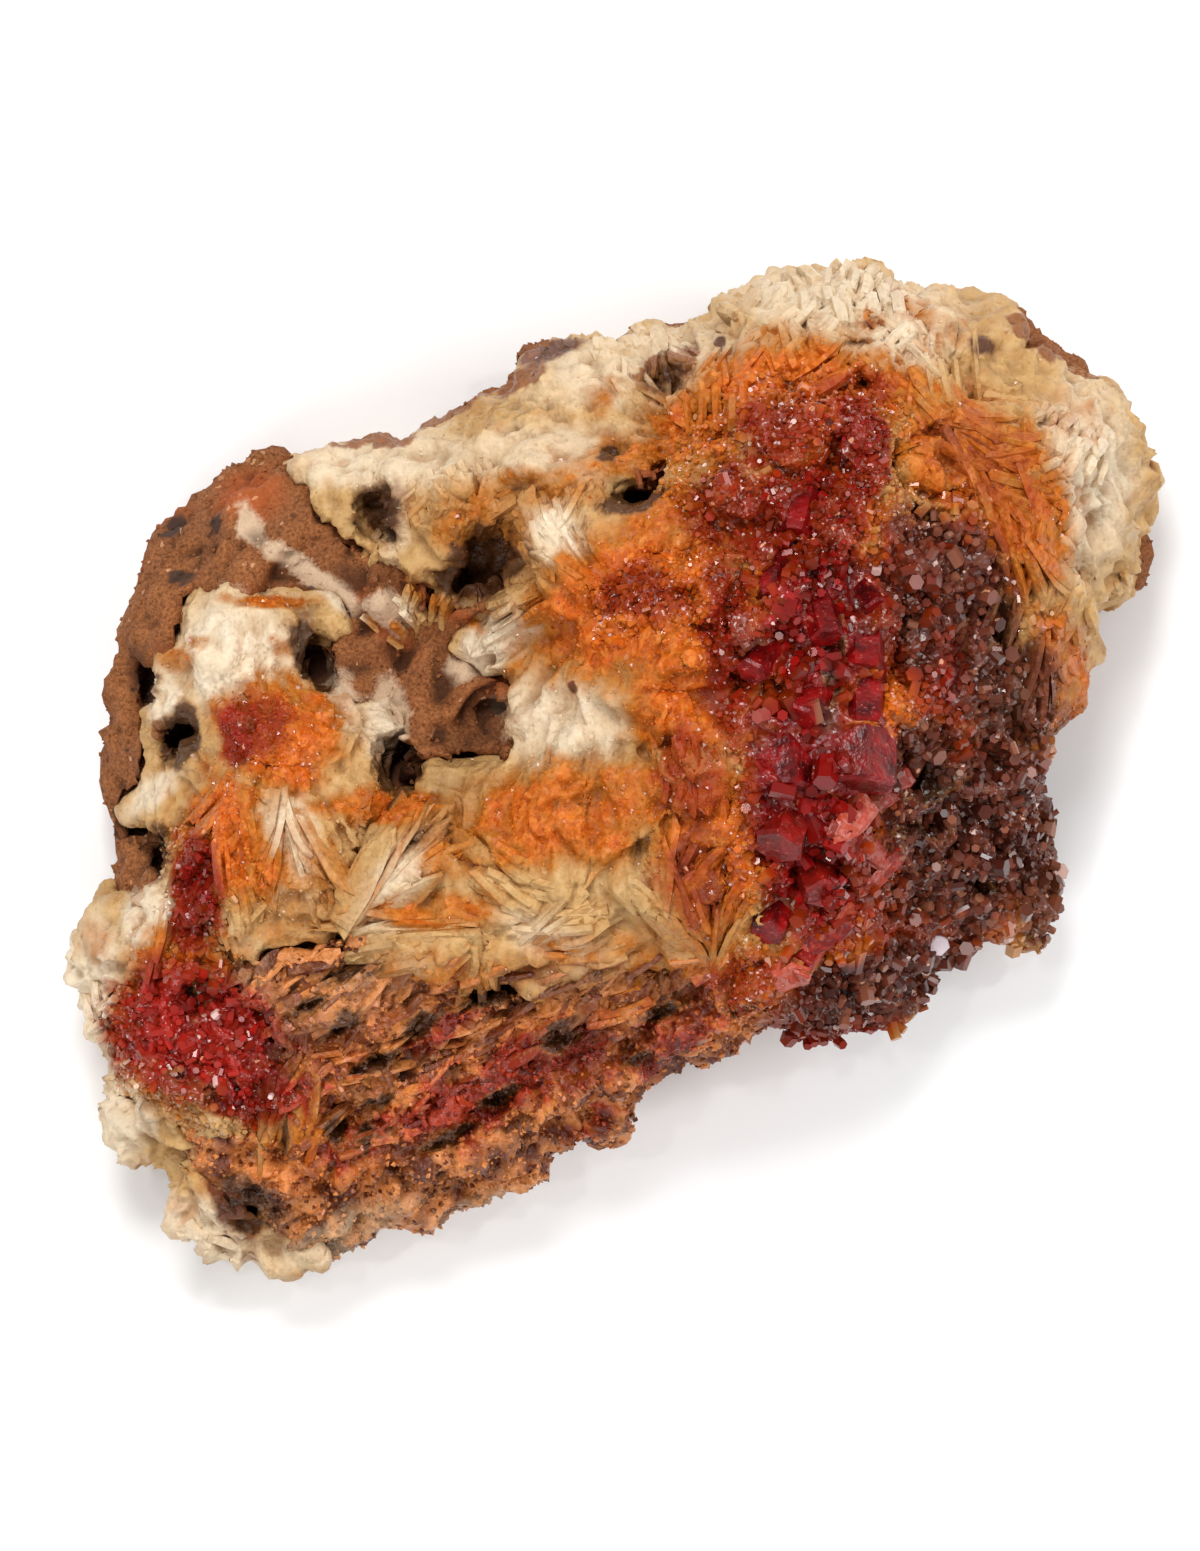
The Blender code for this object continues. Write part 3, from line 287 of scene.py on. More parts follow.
# Fans of barite blades: x, y, middle heading, spread, lift, count, length, width, thickness, and
# the reach of the roots
BLADE_FANS = (
    (-28.0, -3.6, 266, 70, 2, 7, 7.0, 2.4, 0.9, 4.0),
    (-16.0, 12.6, 112, 60, 20, 4, 4.4, 2.2, 0.8, 1.6),
    (26.6, 30.6, 112, 80, 6, 7, 6.0, 2.8, 0.9, 2.8),
    (31.0, 27.4, 318, 90, 2, 8, 7.4, 2.6, 0.9, 3.2),
    (37.4, 17.4, 268, 60, 0, 6, 7.0, 2.6, 0.9, 2.8), (8.6, 30.0, 98, 90, 4, 6, 5.4, 2.6, 0.9, 2.8),
    (-13.0, 22.4, 262, 70, -6, 7, 4.4, 2.2, 0.8, 3.4),
    (-3.0, 24.0, 250, 80, -6, 7, 4.4, 2.2, 0.8, 3.4),
    (-8.4, -8.6, 322, 46, 2, 5, 5.6, 2.4, 0.9, 2.6),
    (-25.6, -27.6, 262, 50, 0, 5, 5.4, 2.8, 1.0, 3.4),
    (36.0, 26.0, 40, 100, 2, 6, 5.0, 2.6, 0.9, 3.4),
    (14.0, 35.0, 92, 120, 6, 8, 4.6, 2.6, 0.9, 3.8),
    (-14.0, -14.0, 200, 40, 0, 5, 5.6, 2.4, 0.9, 3.0),
    (0.0, -14.0, 190, 40, 2, 5, 5.6, 2.4, 0.9, 3.4),
    (20.0, 38.0, 80, 120, 4, 8, 4.4, 2.6, 0.9, 3.6),
    (4.0, 33.0, 110, 60, 10, 5, 4.6, 2.4, 0.9, 2.4),
    (-42.0, -18.0, 250, 60, 0, 4, 4.0, 2.2, 0.9, 3.0),
    (-34.0, -38.0, 320, 60, 0, 4, 4.0, 2.2, 0.9, 3.0),
    (8.0, -3.0, 80, 70, 4, 3, 5.0, 2.4, 0.9, 2.0),
)

# Single large fans, whose blades are set out evenly: x, y, middle heading, spread, lift, count,
# length, width, thickness
LARGE_FANS = (
    (9.2, -15.4, 98, 74, 8, 12, 9.6, 3.2, 0.7), (-20.6, -12.2, 48, 34, 8, 8, 10.4, 3.4, 0.8),
    (-10.5, -12.6, 181, 16, 0, 6, 11.0, 3.0, 0.8), (-9.8, -13.0, 274, 24, 0, 5, 6.0, 3.0, 0.8),
    (-6.0, -13.4, 35, 30, 0, 6, 7.4, 2.8, 0.8), (-26.0, -1.4, 276, 48, 2, 10, 10.0, 3.2, 0.8),
    (-1.4, 16.0, 136, 30, 20, 4, 6.0, 3.4, 1.1), (-4.0, 14.6, 206, 14, 0, 5, 7.4, 2.6, 0.8),
    (28.0, 29.0, 330, 70, 2, 10, 10.0, 3.4, 0.8), (33.0, 22.0, 296, 50, 0, 8, 10.0, 3.2, 0.8),
    (25.6, 0.6, 20, 50, 4, 5, 4.4, 2.0, 0.5), (-37.4, -16.4, 74, 6, 6, 3, 6.4, 3.0, 0.9),
    (37.0, 12.0, 275, 40, 0, 6, 8.0, 3.0, 0.7), (5.0, -11.0, 66, 40, 4, 6, 7.0, 2.8, 0.7),
)

# Ledge plates: first place, heading, rows, step between rows, plates in a row, step along, length,
# width and thickness, and how far up they reach
LEDGE_FIELD = (-31.0, -16.5, 28.0, 16, 1.2, 22, 2.3, 3.4, 1.3, 0.42)
LEDGE_TOP = -15.6

# The pale ribbon that zigzags down beside the red core, and the width and thickness of its plates
RIBBON = ((24.0, -1.0), (19.2, -4.2), (23.8, -7.2), (20.4, -11.0), (14.4, -17.2))
RIBBON_SIZE = (2.8, 0.5)
RIBBON_STEP = 2.4
RIBBON_ROLL = 48

# Large vanadinite prisms: x, y, radius, length, heading of the lean, lean from upright
LARGE_PRISMS = (
    (14.7, 2.0, 2.6, 3.5, 270, 70), (20.8, 1.8, 3.4, 3.1, 270, 72), (21.3, 7.1, 2.1, 3.3, 270, 70),
    (21.2, 10.8, 2.0, 2.4, 268, 70), (15.2, -3.6, 2.3, 3.0, 250, 54),
    (14.6, -11.0, 1.6, 2.8, 240, 50), (14.0, 16.6, 1.4, 2.6, 270, 60),
    (16.4, 21.6, 1.4, 2.6, 255, 60), (13.4, 9.8, 1.4, 2.6, 230, 50),
    (17.8, 13.4, 1.5, 2.8, 285, 60), (17.4, -7.6, 1.7, 3.0, 290, 50),
    (17.4, 6.6, 1.5, 2.8, 240, 56), (21.6, 15.0, 1.3, 2.4, 300, 50),
    (17.0, -14.0, 1.4, 2.4, 240, 50), (27.8, -13.6, 1.0, 1.4, 300, 30),
)
PRISM_SPOTS = tuple(
    (x, y, 1.05 * radius, 1.05 * radius, 0, 1.0) for x, y, radius, *_ in LARGE_PRISMS
)

# Where the vanadinite is coarse: x, y, reach along, reach across, turn, strength
COARSE_SPOTS = ((17.5, 2, 5.0, 14, 0, 1.0), (-33, -20, 5, 5, 0, 0.6), (16, 17, 4, 4, 0, 0.4))

# The tone of the one lilac prism, and the top tone of the small ones, so that few get painted
# glints
LILAC_TONE = 1.0
TOP_TONE = 0.975

# How the small red prisms are shared out, and least and greatest radius of the small prisms
RED_SHARES = {"vanadinite_band": 0.74, "vanadinite_patch": 0.26}
RED_PRISM = (0.18, 0.42)
DRUSE_PRISM = (0.18, 0.5)

# Grains on each skin: share of all the sugar, least and greatest radius, and whether only stained
# places are strewn thickly
SUGAR = {
    "barite_centre": (0.26, (0.10, 0.24), True),
    "barite_left": (0.10, (0.10, 0.24), True),
    "barite_crest": (0.10, (0.10, 0.24), True),
    "vanadinite_band": (0.24, (0.12, 0.26), False),
    "vanadinite_patch": (0.08, (0.12, 0.26), False),
    "dark_druse": (0.12, (0.14, 0.34), False),
    "barite_ledges": (0.20, (0.14, 0.34), False),
}
ROCK_GRAIN = (0.14, 0.3)

# A plate's least length, the shares of its length at which the ground under its tip is read, and
# how steeply it may fall or climb
SHORTEST_PLATE = 1.5
TIP_SHARES = (0.85, 0.95)
STEEPEST = (-1.1, 0.9)

# Which of a Mix node's sockets take and give colours
MIX_FACTOR, MIX_FIRST, MIX_SECOND, MIX_RESULT = 0, 6, 7, 2


class Wire:
    """A node's output whose operators add Math nodes."""

    def __init__(self, maker, socket):
        self.maker = maker
        self.socket = socket

    def apply(self, operation, left, right):
        """Add a Math node and give its output."""
        return self.maker.add("ShaderNodeMath", {"operation": operation}, (left, right))[0]

    def __add__(self, other):
        return self.apply("ADD", self, other)

    def __radd__(self, other):
        return self.apply("ADD", other, self)

    def __sub__(self, other):
        return self.apply("SUBTRACT", self, other)

    def __rsub__(self, other):
        return self.apply("SUBTRACT", other, self)

    def __mul__(self, other):
        return self.apply("MULTIPLY", self, other)

    def __rmul__(self, other):
        return self.apply("MULTIPLY", other, self)

    def clamp(self):
        """Keep a value between 0 and 1."""
        return self.maker.add("ShaderNodeClamp", {}, (self, 0.0, 1.0))[0]


class Finish:
    """One mineral's material, built node by node."""

    def __init__(self, name):
        self.material = bpy.data.materials.new(name)
        self.material.use_nodes = True
        self.tree = self.material.node_tree
        self.shader = self.tree.nodes["Principled BSDF"]
        self.place = self.add("ShaderNodeTexCoord", {}, ())[3]

    def add(self, kind, settings, inputs):
        """Add a node with its settings and the values or wires of its inputs."""
        node = self.tree.nodes.new(kind)
        for key, value in settings.items():
            setattr(node, key, value)
        pairs = inputs.items() if isinstance(inputs, dict) else enumerate(inputs)
        for key, value in pairs:
            self.plug(node.inputs[key], value)
        return [Wire(self, socket) for socket in node.outputs]

    def plug(self, socket, value):
        """Set a socket to a value, or link a wire to it."""
        if isinstance(value, Wire):
            self.tree.links.new(value.socket, socket)
        elif value is not None:
            socket.default_value = value

    def mask(self, name):
        """A mask painted on the mesh."""
        return self.add("ShaderNodeAttribute", {"attribute_name": name}, ())[2]

    def noise(self, scale, detail=3.0, roughness=0.6):
        """Fine noise, with its scale per metre."""
        inputs = {"Vector": self.place, "Scale": scale, "Detail": detail, "Roughness": roughness}
        return self.add("ShaderNodeTexNoise", {}, inputs)[0]

    def blend(self, factor, first, second):
        """Mix two colours."""
        settings = {"data_type": "RGBA", "clamp_factor": True}
        inputs = {MIX_FACTOR: factor, MIX_FIRST: first, MIX_SECOND: second}
        return self.add("ShaderNodeMix", settings, inputs)[MIX_RESULT]

    def contrast(self, wire, low, high):
        """Stretch a value so that low becomes 0 and high becomes 1."""
        inputs = {"Value": wire, "From Min": low, "From Max": high}
        return self.add("ShaderNodeMapRange", {"clamp": True}, inputs)[0]

    def bump(self, height, strength, distance, normal=None):
        """Turn a height into a normal, or add it to one."""
        inputs = {"Strength": strength, "Distance": distance, "Height": height, "Normal": normal}
        return self.add("ShaderNodeBump", {}, inputs)[0]

    def facets(self, scale, strength):
        """A normal that turns at random from cell to cell, as on a crust of fine crystals."""
        outward = self.add("ShaderNodeNewGeometry", {}, ())[1]
        lean = self.vector("SUBTRACT", (self.crumbs(scale), (0.5, 0.5, 0.5)))
        lean = self.vector("SCALE", {"Vector": lean, "Scale": strength})
        return self.vector("NORMALIZE", (self.vector("ADD", (outward, lean)),))

    def vector(self, operation, inputs):
        """Add a Vector Math node and give its output."""
        return self.add("ShaderNodeVectorMath", {"operation": operation}, inputs)[0]

    def specks(self, scale):
        """1 on a few tiny cells at random, 0 elsewhere."""
        return self.contrast(self.crumbs(scale), 0.92, 0.94)

    def crumbs(self, scale):
        """A random colour for each tiny cell, which reads as a value where one is needed."""
        return self.add("ShaderNodeTexVoronoi", {}, {"Vector": self.place, "Scale": scale})[1]

    def finish(self, colour, roughness, normal=None, **steady):
        """Plug what varies into the shader, and set what is steady on its own sockets."""
        self.plug(self.shader.inputs["Base Color"], colour)
        self.plug(self.shader.inputs["Roughness"], roughness)
        if normal is not None:
            self.plug(self.shader.inputs["Normal"], normal)
        for name, value in steady.items():
            self.shader.inputs[name.replace("_", " ")].default_value = value
        return self.material


def linear(red, green, blue):
    """A colour given in screen values from 0 to 255, as the shader reads it."""
    values = []
    for value in (red, green, blue):
        share = value / 255
        values.append(share / 12.92 if share < 0.04045 else ((share + 0.055) / 1.055) ** 2.4)
    return (*values, 1.0)


def lattice_value(lattice, seed):
    """A random value from -1 to 1 for each point of a lattice."""
    mixed = np.full(len(lattice), seed * SCRAMBLE_SEED)
    for axis, factor in enumerate(SCRAMBLE):
        mixed = mixed ^ lattice[:, axis] * factor
    mixed = (mixed ^ mixed >> 13) * SCRAMBLE_AGAIN
    return ((mixed ^ mixed >> 16) & 0xFFFF) / 32767.5 - 1


def smooth_noise(points, scale, seed):
    """Smooth random values from -1 to 1 over an array of points in millimetres."""
    grid = points / scale + seed * 17.31
    cell = np.floor(grid).astype(np.int64)
    part = grid - cell
    ease = part * part * (3 - 2 * part)
    total = np.zeros(len(points))
    for corner in itertools.product((0, 1), repeat=3):
        weight = np.prod(np.where(np.array(corner) == 1, ease, 1 - ease), axis=1)
        total += weight * lattice_value(cell + np.array(corner), seed)
    return total


def spot_drift(points, seed):
    """How far the edges of painted spots wander at each point."""
    return smooth_noise(points, 2.2, seed) + 0.5 * smooth_noise(points, 0.8, seed + 1)


def painted(points, spots, seed):
    """The strength of a painted mask at an array of points in millimetres."""
    drift_x = spot_drift(points, seed)
    drift_y = spot_drift(points, seed + 2)
    mask = np.zeros(len(points))
    for x, y, reach, across, turn, strength in spots:
        limit = min(1.0, 0.5 * min(reach, across))
        angle = math.radians(turn)
        away_x = points[:, 0] + drift_x * limit - x
        away_y = points[:, 1] + drift_y * limit - y
        along = (away_x * math.cos(angle) + away_y * math.sin(angle)) / reach
        side = (away_y * math.cos(angle) - away_x * math.sin(angle)) / across
        distance = np.sqrt(along * along + side * side)
        mask = np.maximum(mask, strength * np.clip((SPOT_END - distance) / SPOT_FADE, 0, 1))
    return mask


MASKS = {
    "orange": (ORANGE_SPOTS, 31),
    "red": (RED_SPOTS, 41),
    "dark": (DARK_SPOTS, 51),
    "pale": (PALE_SPOTS, 61),
    "hollow": (HOLLOW_SPOTS, 71),
    "rock": (ROCK_SPOTS, 101),
}


def points_of(mesh):
    """A mesh's vertices as an array in millimetres."""
    values = np.empty(len(mesh.vertices) * 3)
    mesh.vertices.foreach_get("co", values)
    return values.reshape(-1, 3) / MM


def set_points(mesh, points):
    """Move a mesh's vertices to an array of places in millimetres."""
    mesh.vertices.foreach_set("co", (points * MM).ravel())
    mesh.update()


def normals_of(mesh):
    """A mesh's vertex normals as an array."""
    values = np.empty(len(mesh.vertices) * 3)
    mesh.vertex_normals.foreach_get("vector", values)
    return values.reshape(-1, 3)


def set_mask(mesh, name, values):
    """Store one value for each vertex."""
    attribute = mesh.attributes.new(name, "FLOAT", "POINT")
    attribute.data.foreach_set("value", np.ascontiguousarray(values, dtype=np.float32))


def paint_masks(mesh, anchors=None):
    """Paint all the colour masks on a mesh; anchors give one place for each vertex to paint by."""
    points = points_of(mesh) if anchors is None else anchors
    for name, (spots, seed) in MASKS.items():
        set_mask(mesh, name, painted(points, spots, seed))


def smoothed(points, edges, rounds):
    """Points moved to the mean of their neighbours, several times over."""
    count = np.bincount(edges.ravel(), minlength=len(points))[:, None]
    for _ in range(rounds):
        total = np.zeros_like(points)
        np.add.at(total, edges[:, 0], points[edges[:, 1]])
        np.add.at(total, edges[:, 1], points[edges[:, 0]])
        points = total / np.maximum(count, 1)
    return points


def paint_cavity(mesh):
    """Store how deep each vertex lies below its surroundings, for painted shade; below 0 on a
    ridge.
    """
    points = points_of(mesh)
    edges = np.empty(len(mesh.edges) * 2, dtype=np.int64)
    mesh.edges.foreach_get("vertices", edges)
    away = smoothed(points, edges.reshape(-1, 2), 10) - points
    set_mask(mesh, "cavity", np.sum(away * normals_of(mesh), axis=1))


def settle(points):
    """Press down what stands above the tallest crystals of the solids."""
    points[..., 2] -= np.maximum(points[..., 2] - CEILING, 0) * CEILING_PRESS
    return points


def apply_modifier(obj, kind, **settings):
    """Add a modifier with its settings and apply it."""
    bpy.ops.object.select_all(action="DESELECT")
    bpy.context.view_layer.objects.active = obj
    obj.select_set(True)
    modifier = obj.modifiers.new(kind.lower(), kind)
    for key, value in settings.items():
        setattr(modifier, key, value)
    bpy.ops.object.modifier_apply(modifier=modifier.name)


def coat(mesh, material):
    """Give a mesh one material."""
    mesh.materials.clear()
    mesh.materials.append(material)


def link(name, mesh, material):
    """Put a finished mesh in the scene as a piece that rides on the body."""
    obj = bpy.data.objects.new(name, mesh)
    bpy.context.scene.collection.objects.link(obj)
    coat(mesh, material)
    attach(obj, BODY)
    return obj


def along_flow(spot, flow):
    """How far points lie round and along a flow, in ridges."""
    x, y, heading, back, _ = flow
    angle = math.radians(heading)
    away_x = spot[:, 0] - x + back * math.cos(angle)
    away_y = spot[:, 1] - y + back * math.sin(angle)
    turn = np.arctan2(away_y, away_x) - angle
    turn = np.arctan2(np.sin(turn), np.cos(turn))
    run = np.hypot(away_x, away_y) / RIDGE_LENGTH
    return np.stack((turn * back / RIDGE_WIDTH, run, spot[:, 2] / RIDGE_HEIGHT), axis=-1)


def ridges(points):
    """Height from -1 to 1 of the ridges that the blades' edges make, along the flows."""
    total = np.zeros(len(points))
    weights = np.full(len(points), 1e-3)
    for number, flow in enumerate(FLOWS):
        x, y, _, _, reach = flow
        distance = np.hypot(points[:, 0] - x, points[:, 1] - y)
        near = np.flatnonzero(distance < 2.6 * reach)
        if not len(near):
            continue
        grid = along_flow(points[near], flow)
        weight = np.exp(-distance[near] ** 2 / (0.7 * reach ** 2))
        wave = 1 - 2 * np.abs(smooth_noise(grid * (0.55, 0.8, 0.8), 1.0, RIDGE_SEED + number))
        fine = 1 - 2 * np.abs(smooth_noise(grid * (1.3, 1.4, 1.4), 1.0, FINE_RIDGE_SEED + number))
        total[near] += (0.7 * wave + 0.6 * fine) * weight
        weights[near] += weight
    return total / weights * np.clip(weights * 3, 0, 1)


def refine_outside(mesh):
    """Halve the edges of all faces that don't look down, where a skin can be seen."""
    bm = bmesh.new()
    bm.from_mesh(mesh)
    seen = {edge for face in bm.faces if face.normal.z > -0.25 for edge in face.edges}
    bmesh.ops.subdivide_edges(bm, edges=list(seen), cuts=1, use_grid_fill=True)
    bmesh.ops.triangulate(bm, faces=[face for face in bm.faces if len(face.verts) > 4])
    bm.to_mesh(mesh)
    bm.free()


def merged_copy(node):
    """A copy of a solid's mesh whose loose triangles are joined."""
    bm = bmesh.new()
    bm.from_mesh(bpy.data.objects[node].data)
    bmesh.ops.remove_doubles(bm, verts=bm.verts[:], dist=MERGE_DISTANCE)
    mesh = bpy.data.meshes.new(node + "_skin")
    bm.to_mesh(mesh)
    bm.free()
    return mesh


def relief(points, skin, ridge):
    """How far each vertex of a skin moves outwards, for its lumps, grooves and holes."""
    away = np.full(len(points), INFLATE)
    for number, (scale, depth, sharp) in enumerate(skin.lumps):
        wave = smooth_noise(points, scale, LUMP_SEED + number)
        away += (0.6 - 2 * np.abs(wave) if sharp else wave) * depth
    away += ridge * skin.ridge_depth
    holes = painted(points, HOLLOW_SPOTS, MASKS["hollow"][1])
    away -= holes * bpy.context.scene.specimen.hollow_depth / MM
    bare = painted(points, PRISM_SPOTS, PRISM_SEED)
    return away * (1 - bare) - BARE_DEPTH * bare


def warp(points, base):
    """How far the warp that all skins share moves each vertex."""
    reach = bpy.context.scene.specimen.warp_reach / MM
    waves = [smooth_noise(points, WARP_SCALE, WARP_SEED + axis) for axis in range(3)]
    return np.stack(waves, axis=-1) * WARP_SHARES * (reach * base)[:, None]


def make_skin(node, skin, material):
    """Skin one solid: a fine, lumpy and warped copy that stands in its place."""
    obj = link(node + "_skin", merged_copy(node), material)
    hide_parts(node)
    apply_modifier(obj, "REMESH", mode="VOXEL", voxel_size=skin.voxel * MM, adaptivity=0.0)
    apply_modifier(obj, "SMOOTH", factor=0.5, iterations=1)
    if skin.refined:
        refine_outside(obj.data)
        apply_modifier(obj, "SMOOTH", factor=0.5, iterations=1)
    mesh = obj.data
    points = points_of(mesh)
    ridge = ridges(points)
    base = np.clip(points[:, 2] / BASE_HEIGHT, 0, 1)
    away = relief(points, skin, ridge) * base
    moved = settle(points + normals_of(mesh) * away[:, None] + warp(points, base))
    set_points(mesh, moved)
    mesh.polygons.foreach_set("use_smooth", [True] * len(mesh.polygons))
    paint_masks(mesh)
    # How deep each vertex lies, by which the materials paint shade in the hollows
    paint_cavity(mesh)
    set_mask(mesh, "tone", 0.5 + 0.5 * smooth_noise(moved, 1.5, TONE_SEED))
    # The ridges are kept too, for painted shade in the grooves between blades
    set_mask(mesh, "ridge", ridge)
    coat(mesh, material)
    return obj


def rock_material():
    """Brown granular rock with grey, red and white marks."""
    make = Finish("Host_Rock")
    grain = make.noise(3400, 4.0, 0.75)
    patch = make.noise(260, 4.0)
    colour = make.blend(make.contrast(grain, 0.32, 0.7), linear(96, 50, 22), chosen("rock_brown"))
    colour = make.blend(make.contrast(patch, 0.45, 0.7) * 0.5, colour, linear(112, 70, 48))
    colour = make.blend(make.mask("orange") * 0.7, colour, linear(182, 86, 40))
    vein = make.contrast(make.mask("pale") + (patch - 0.5) * 1.2 + (grain - 0.5) * 0.5, 0.3, 0.7)
    vein_tint = make.blend(grain, linear(196, 158, 120), linear(236, 214, 186))
    colour = make.blend(vein * 0.8, colour, vein_tint)
    spot = make.contrast(make.mask("dark") + (patch - 0.5) * 1.2 + (grain - 0.5) * 0.5, 0.4, 0.7)
    colour = make.blend(spot * 0.85, colour, linear(58, 48, 44))
    # Painted shade in the hollows of the rock
    colour = make.blend((make.mask("cavity") * 1.6).clamp() * 0.8, colour, linear(46, 24, 14))
    # Painted shade in the holes, dark brown
    hole = make.contrast(make.mask("hollow"), 0.1, 1.0)
    colour = make.blend(hole * 0.75, colour, linear(60, 30, 18))
    colour = make.blend(make.specks(1900) * 0.7, colour, linear(48, 30, 22))
    colour = make.blend(make.specks(2700) * 0.6, colour, linear(226, 170, 126))
    return make.finish(colour, 0.8, make.bump(grain, 0.6, 0.0003), Specular_IOR_Level=0.2)


def chosen(name):
    """A colour from the user's settings."""
    return tuple(getattr(bpy.context.scene.specimen, name))


def plain_barite(make, tone, patch):
    """Cream barite whose plates differ a little, and white barite."""
    colour = make.blend(patch, linear(182, 132, 70), chosen("cream"))
    colour = make.blend(make.contrast(tone, 0.5, 0.1) * 0.45, colour, linear(152, 100, 50))
    white = make.blend(patch, linear(214, 186, 146), chosen("white"))
    return make.blend(make.mask("pale"), colour, white)


def stained_barite(make, colour, stain, grain):
    """Honey and then orange over barite, mottled crumb by crumb."""
    honey = make.blend(grain, linear(144, 76, 14), chosen("honey"))
    orange = make.blend(grain, linear(158, 56, 2), chosen("orange"))
    colour = make.blend(make.contrast(stain, 0.0, 0.55), colour, honey)
    colour = make.blend(make.contrast(stain, 0.5, 1.0), colour, orange)
    crumb = make.crumbs(2000)
    light = make.contrast(crumb, 0.55, 0.95) * stain
    colour = make.blend(light * 0.45, colour, linear(246, 158, 70))
    return make.blend(make.contrast(crumb, 0.4, 0.1) * stain * 0.4, colour, linear(128, 46, 4))


def reddened(make, colour, redness, tone, grain):
    """Rust and then deep red, lighter where white barite shows through."""
    rust = make.blend(grain, linear(112, 32, 4), chosen("rust"))
    crimson = make.blend(tone, linear(60, 4, 2), chosen("crimson"))
    crimson = make.blend(make.mask("pale") * 0.6, crimson, linear(212, 56, 40))
    colour = make.blend(make.contrast(redness, 0.2, 0.55), colour, rust)
    return make.blend(make.contrast(redness, 0.5, 0.95), colour, crimson)


def crust_colour(make, tone, grain):
    """The stain over all growths: cream, then honey, orange, rust, deep red and dark brown, with
    painted highlights and glints.
    """
    patch = make.noise(420, 4.0)
    colour = plain_barite(make, tone, patch)
    stain = make.contrast(make.mask("orange") + (patch - 0.5) * 0.9 + (tone - 0.5) * 0.4, 0.1, 1.0)
    colour = stained_barite(make, colour, stain, grain)
    redness = make.mask("red") + (grain - 0.5) * 0.3 + (tone - 0.5) * 0.25 + (patch - 0.5) * 0.3
    colour = reddened(make, colour, redness, tone, grain)
    murk = make.contrast(make.mask("dark") + (tone - 0.5) * 0.4 + (patch - 0.5) * 0.6, 0.25, 0.65)
    brown = make.blend(tone, linear(44, 13, 9), chosen("druse_brown"))
    # Painted tan highlights on the dark brown, at random by tone
    brown = make.blend(make.contrast(tone, 0.8, 0.95) * 0.4, brown, linear(156, 112, 84))
    colour = make.blend(murk * 0.92, colour, brown)
    bed = make.contrast(make.mask("rock") + (patch - 0.5) * 0.8 + (grain - 0.5) * 0.3, 0.4, 0.6)
    bed_tint = make.blend(grain, linear(84, 42, 20), linear(170, 104, 62))
    colour = make.blend(bed * 0.9, colour, bed_tint)
    # Painted glints: a few tiny cells lightened where the stain or the red is strong
    glint = make.contrast(stain + redness, 0.5, 1.0) * make.specks(2800)
    return make.blend(glint * 0.6, colour, linear(246, 180, 140))


def shade_hollows(make, colour, depth, tint):
    """Paint shade into the hollows, the holes and the grooves between blades."""
    colour = make.blend((make.mask("cavity") * depth).clamp() * 0.8, colour, tint)
    # Painted shade in the grooves, where the ridge value is low
    colour = make.blend(make.contrast(make.mask("ridge"), 0.15, -0.75) * 0.7, colour, tint)
    # Painted shade in the holes: a brown ring, then dark brown in their middle
    edge = make.mask("hollow") + (make.noise(1100, 3.0) - 0.5) * 0.9
    colour = make.blend(make.contrast(edge, 0.05, 0.35) * 0.6, colour, linear(150, 98, 48))
    return make.blend(make.contrast(edge, 0.3, 0.6) * 0.85, colour, linear(62, 32, 16))


def barite_material():
    """Barite from white through cream and honey to orange, sugared with red where it is stained."""
    make = Finish("Barite")
    grain = make.noise(2200, 3.0)
    colour = crust_colour(make, make.mask("tone"), grain)
    # The colour of the painted shade in hollows and grooves, lighter on white barite
    depths = make.blend(make.mask("pale"), linear(96, 54, 20), linear(164, 116, 64))
    colour = shade_hollows(make, colour, 1.4, depths)
    sugar = make.bump(grain, 0.5, 0.0002, make.facets(3200, 0.55))
    return make.finish(colour, 0.4, sugar, Specular_IOR_Level=0.24)


def vanadinite_material():
    """Red vanadinite with a bright resinous lustre, orange where its stain is less red."""
    make = Finish("Vanadinite")
    grain = make.noise(1600, 3.0)
    colour = crust_colour(make, make.mask("tone"), grain)
    colour = shade_hollows(make, colour, 1.6, linear(48, 10, 8))
    return make.finish(colour, 0.25, make.facets(3000, 0.9))


def crystal_material():
    """The glassy faces of single crystals, a few of which are painted pale as glints."""
    make = Finish("Crystal")
    grain = make.noise(900, 2.0)
    tone = make.mask("tone")
    colour = crust_colour(make, tone, grain)
    # Painted glints: the crystals of the highest tones turn pale
    colour = make.blend(make.contrast(tone, 0.965, 0.975) * 0.8, colour, linear(236, 206, 198))
    # Painted shade on crystals in the holes
    hole = make.contrast(make.mask("hollow"), 0.3, 1.0)
    colour = make.blend(hole * 0.8, colour, linear(40, 16, 10))
    return make.finish(colour, 0.15, None, Specular_IOR_Level=0.42)


def prism_material():
    """The deep red faces of the large prisms, cloudy, with light red flecks painted as highlights.
    """
    make = Finish("Large_Prism")
    cloud = make.noise(500, 3.0)
    tone = make.mask("tone")
    grain = make.noise(2600, 2.0)
    colour = make.blend(make.contrast(cloud, 0.35, 0.65), linear(54, 2, 3), linear(142, 12, 11))
    colour = make.blend(make.contrast(tone, 0.6, 0.8) * 0.5, colour, linear(124, 30, 13))
    # Painted highlights: light red flecks for the light through the translucent edges
    colour = make.blend(make.contrast(grain, 0.64, 0.72) * 0.4, colour, linear(226, 128, 116))
    colour = make.blend(make.contrast(tone, 0.9, 0.95), colour, linear(216, 200, 206))
    normal = make.bump(grain, 0.25, 0.0002, make.bump(cloud, 0.5, 0.0006))
    return make.finish(colour, 0.3, normal, Specular_IOR_Level=0.3)


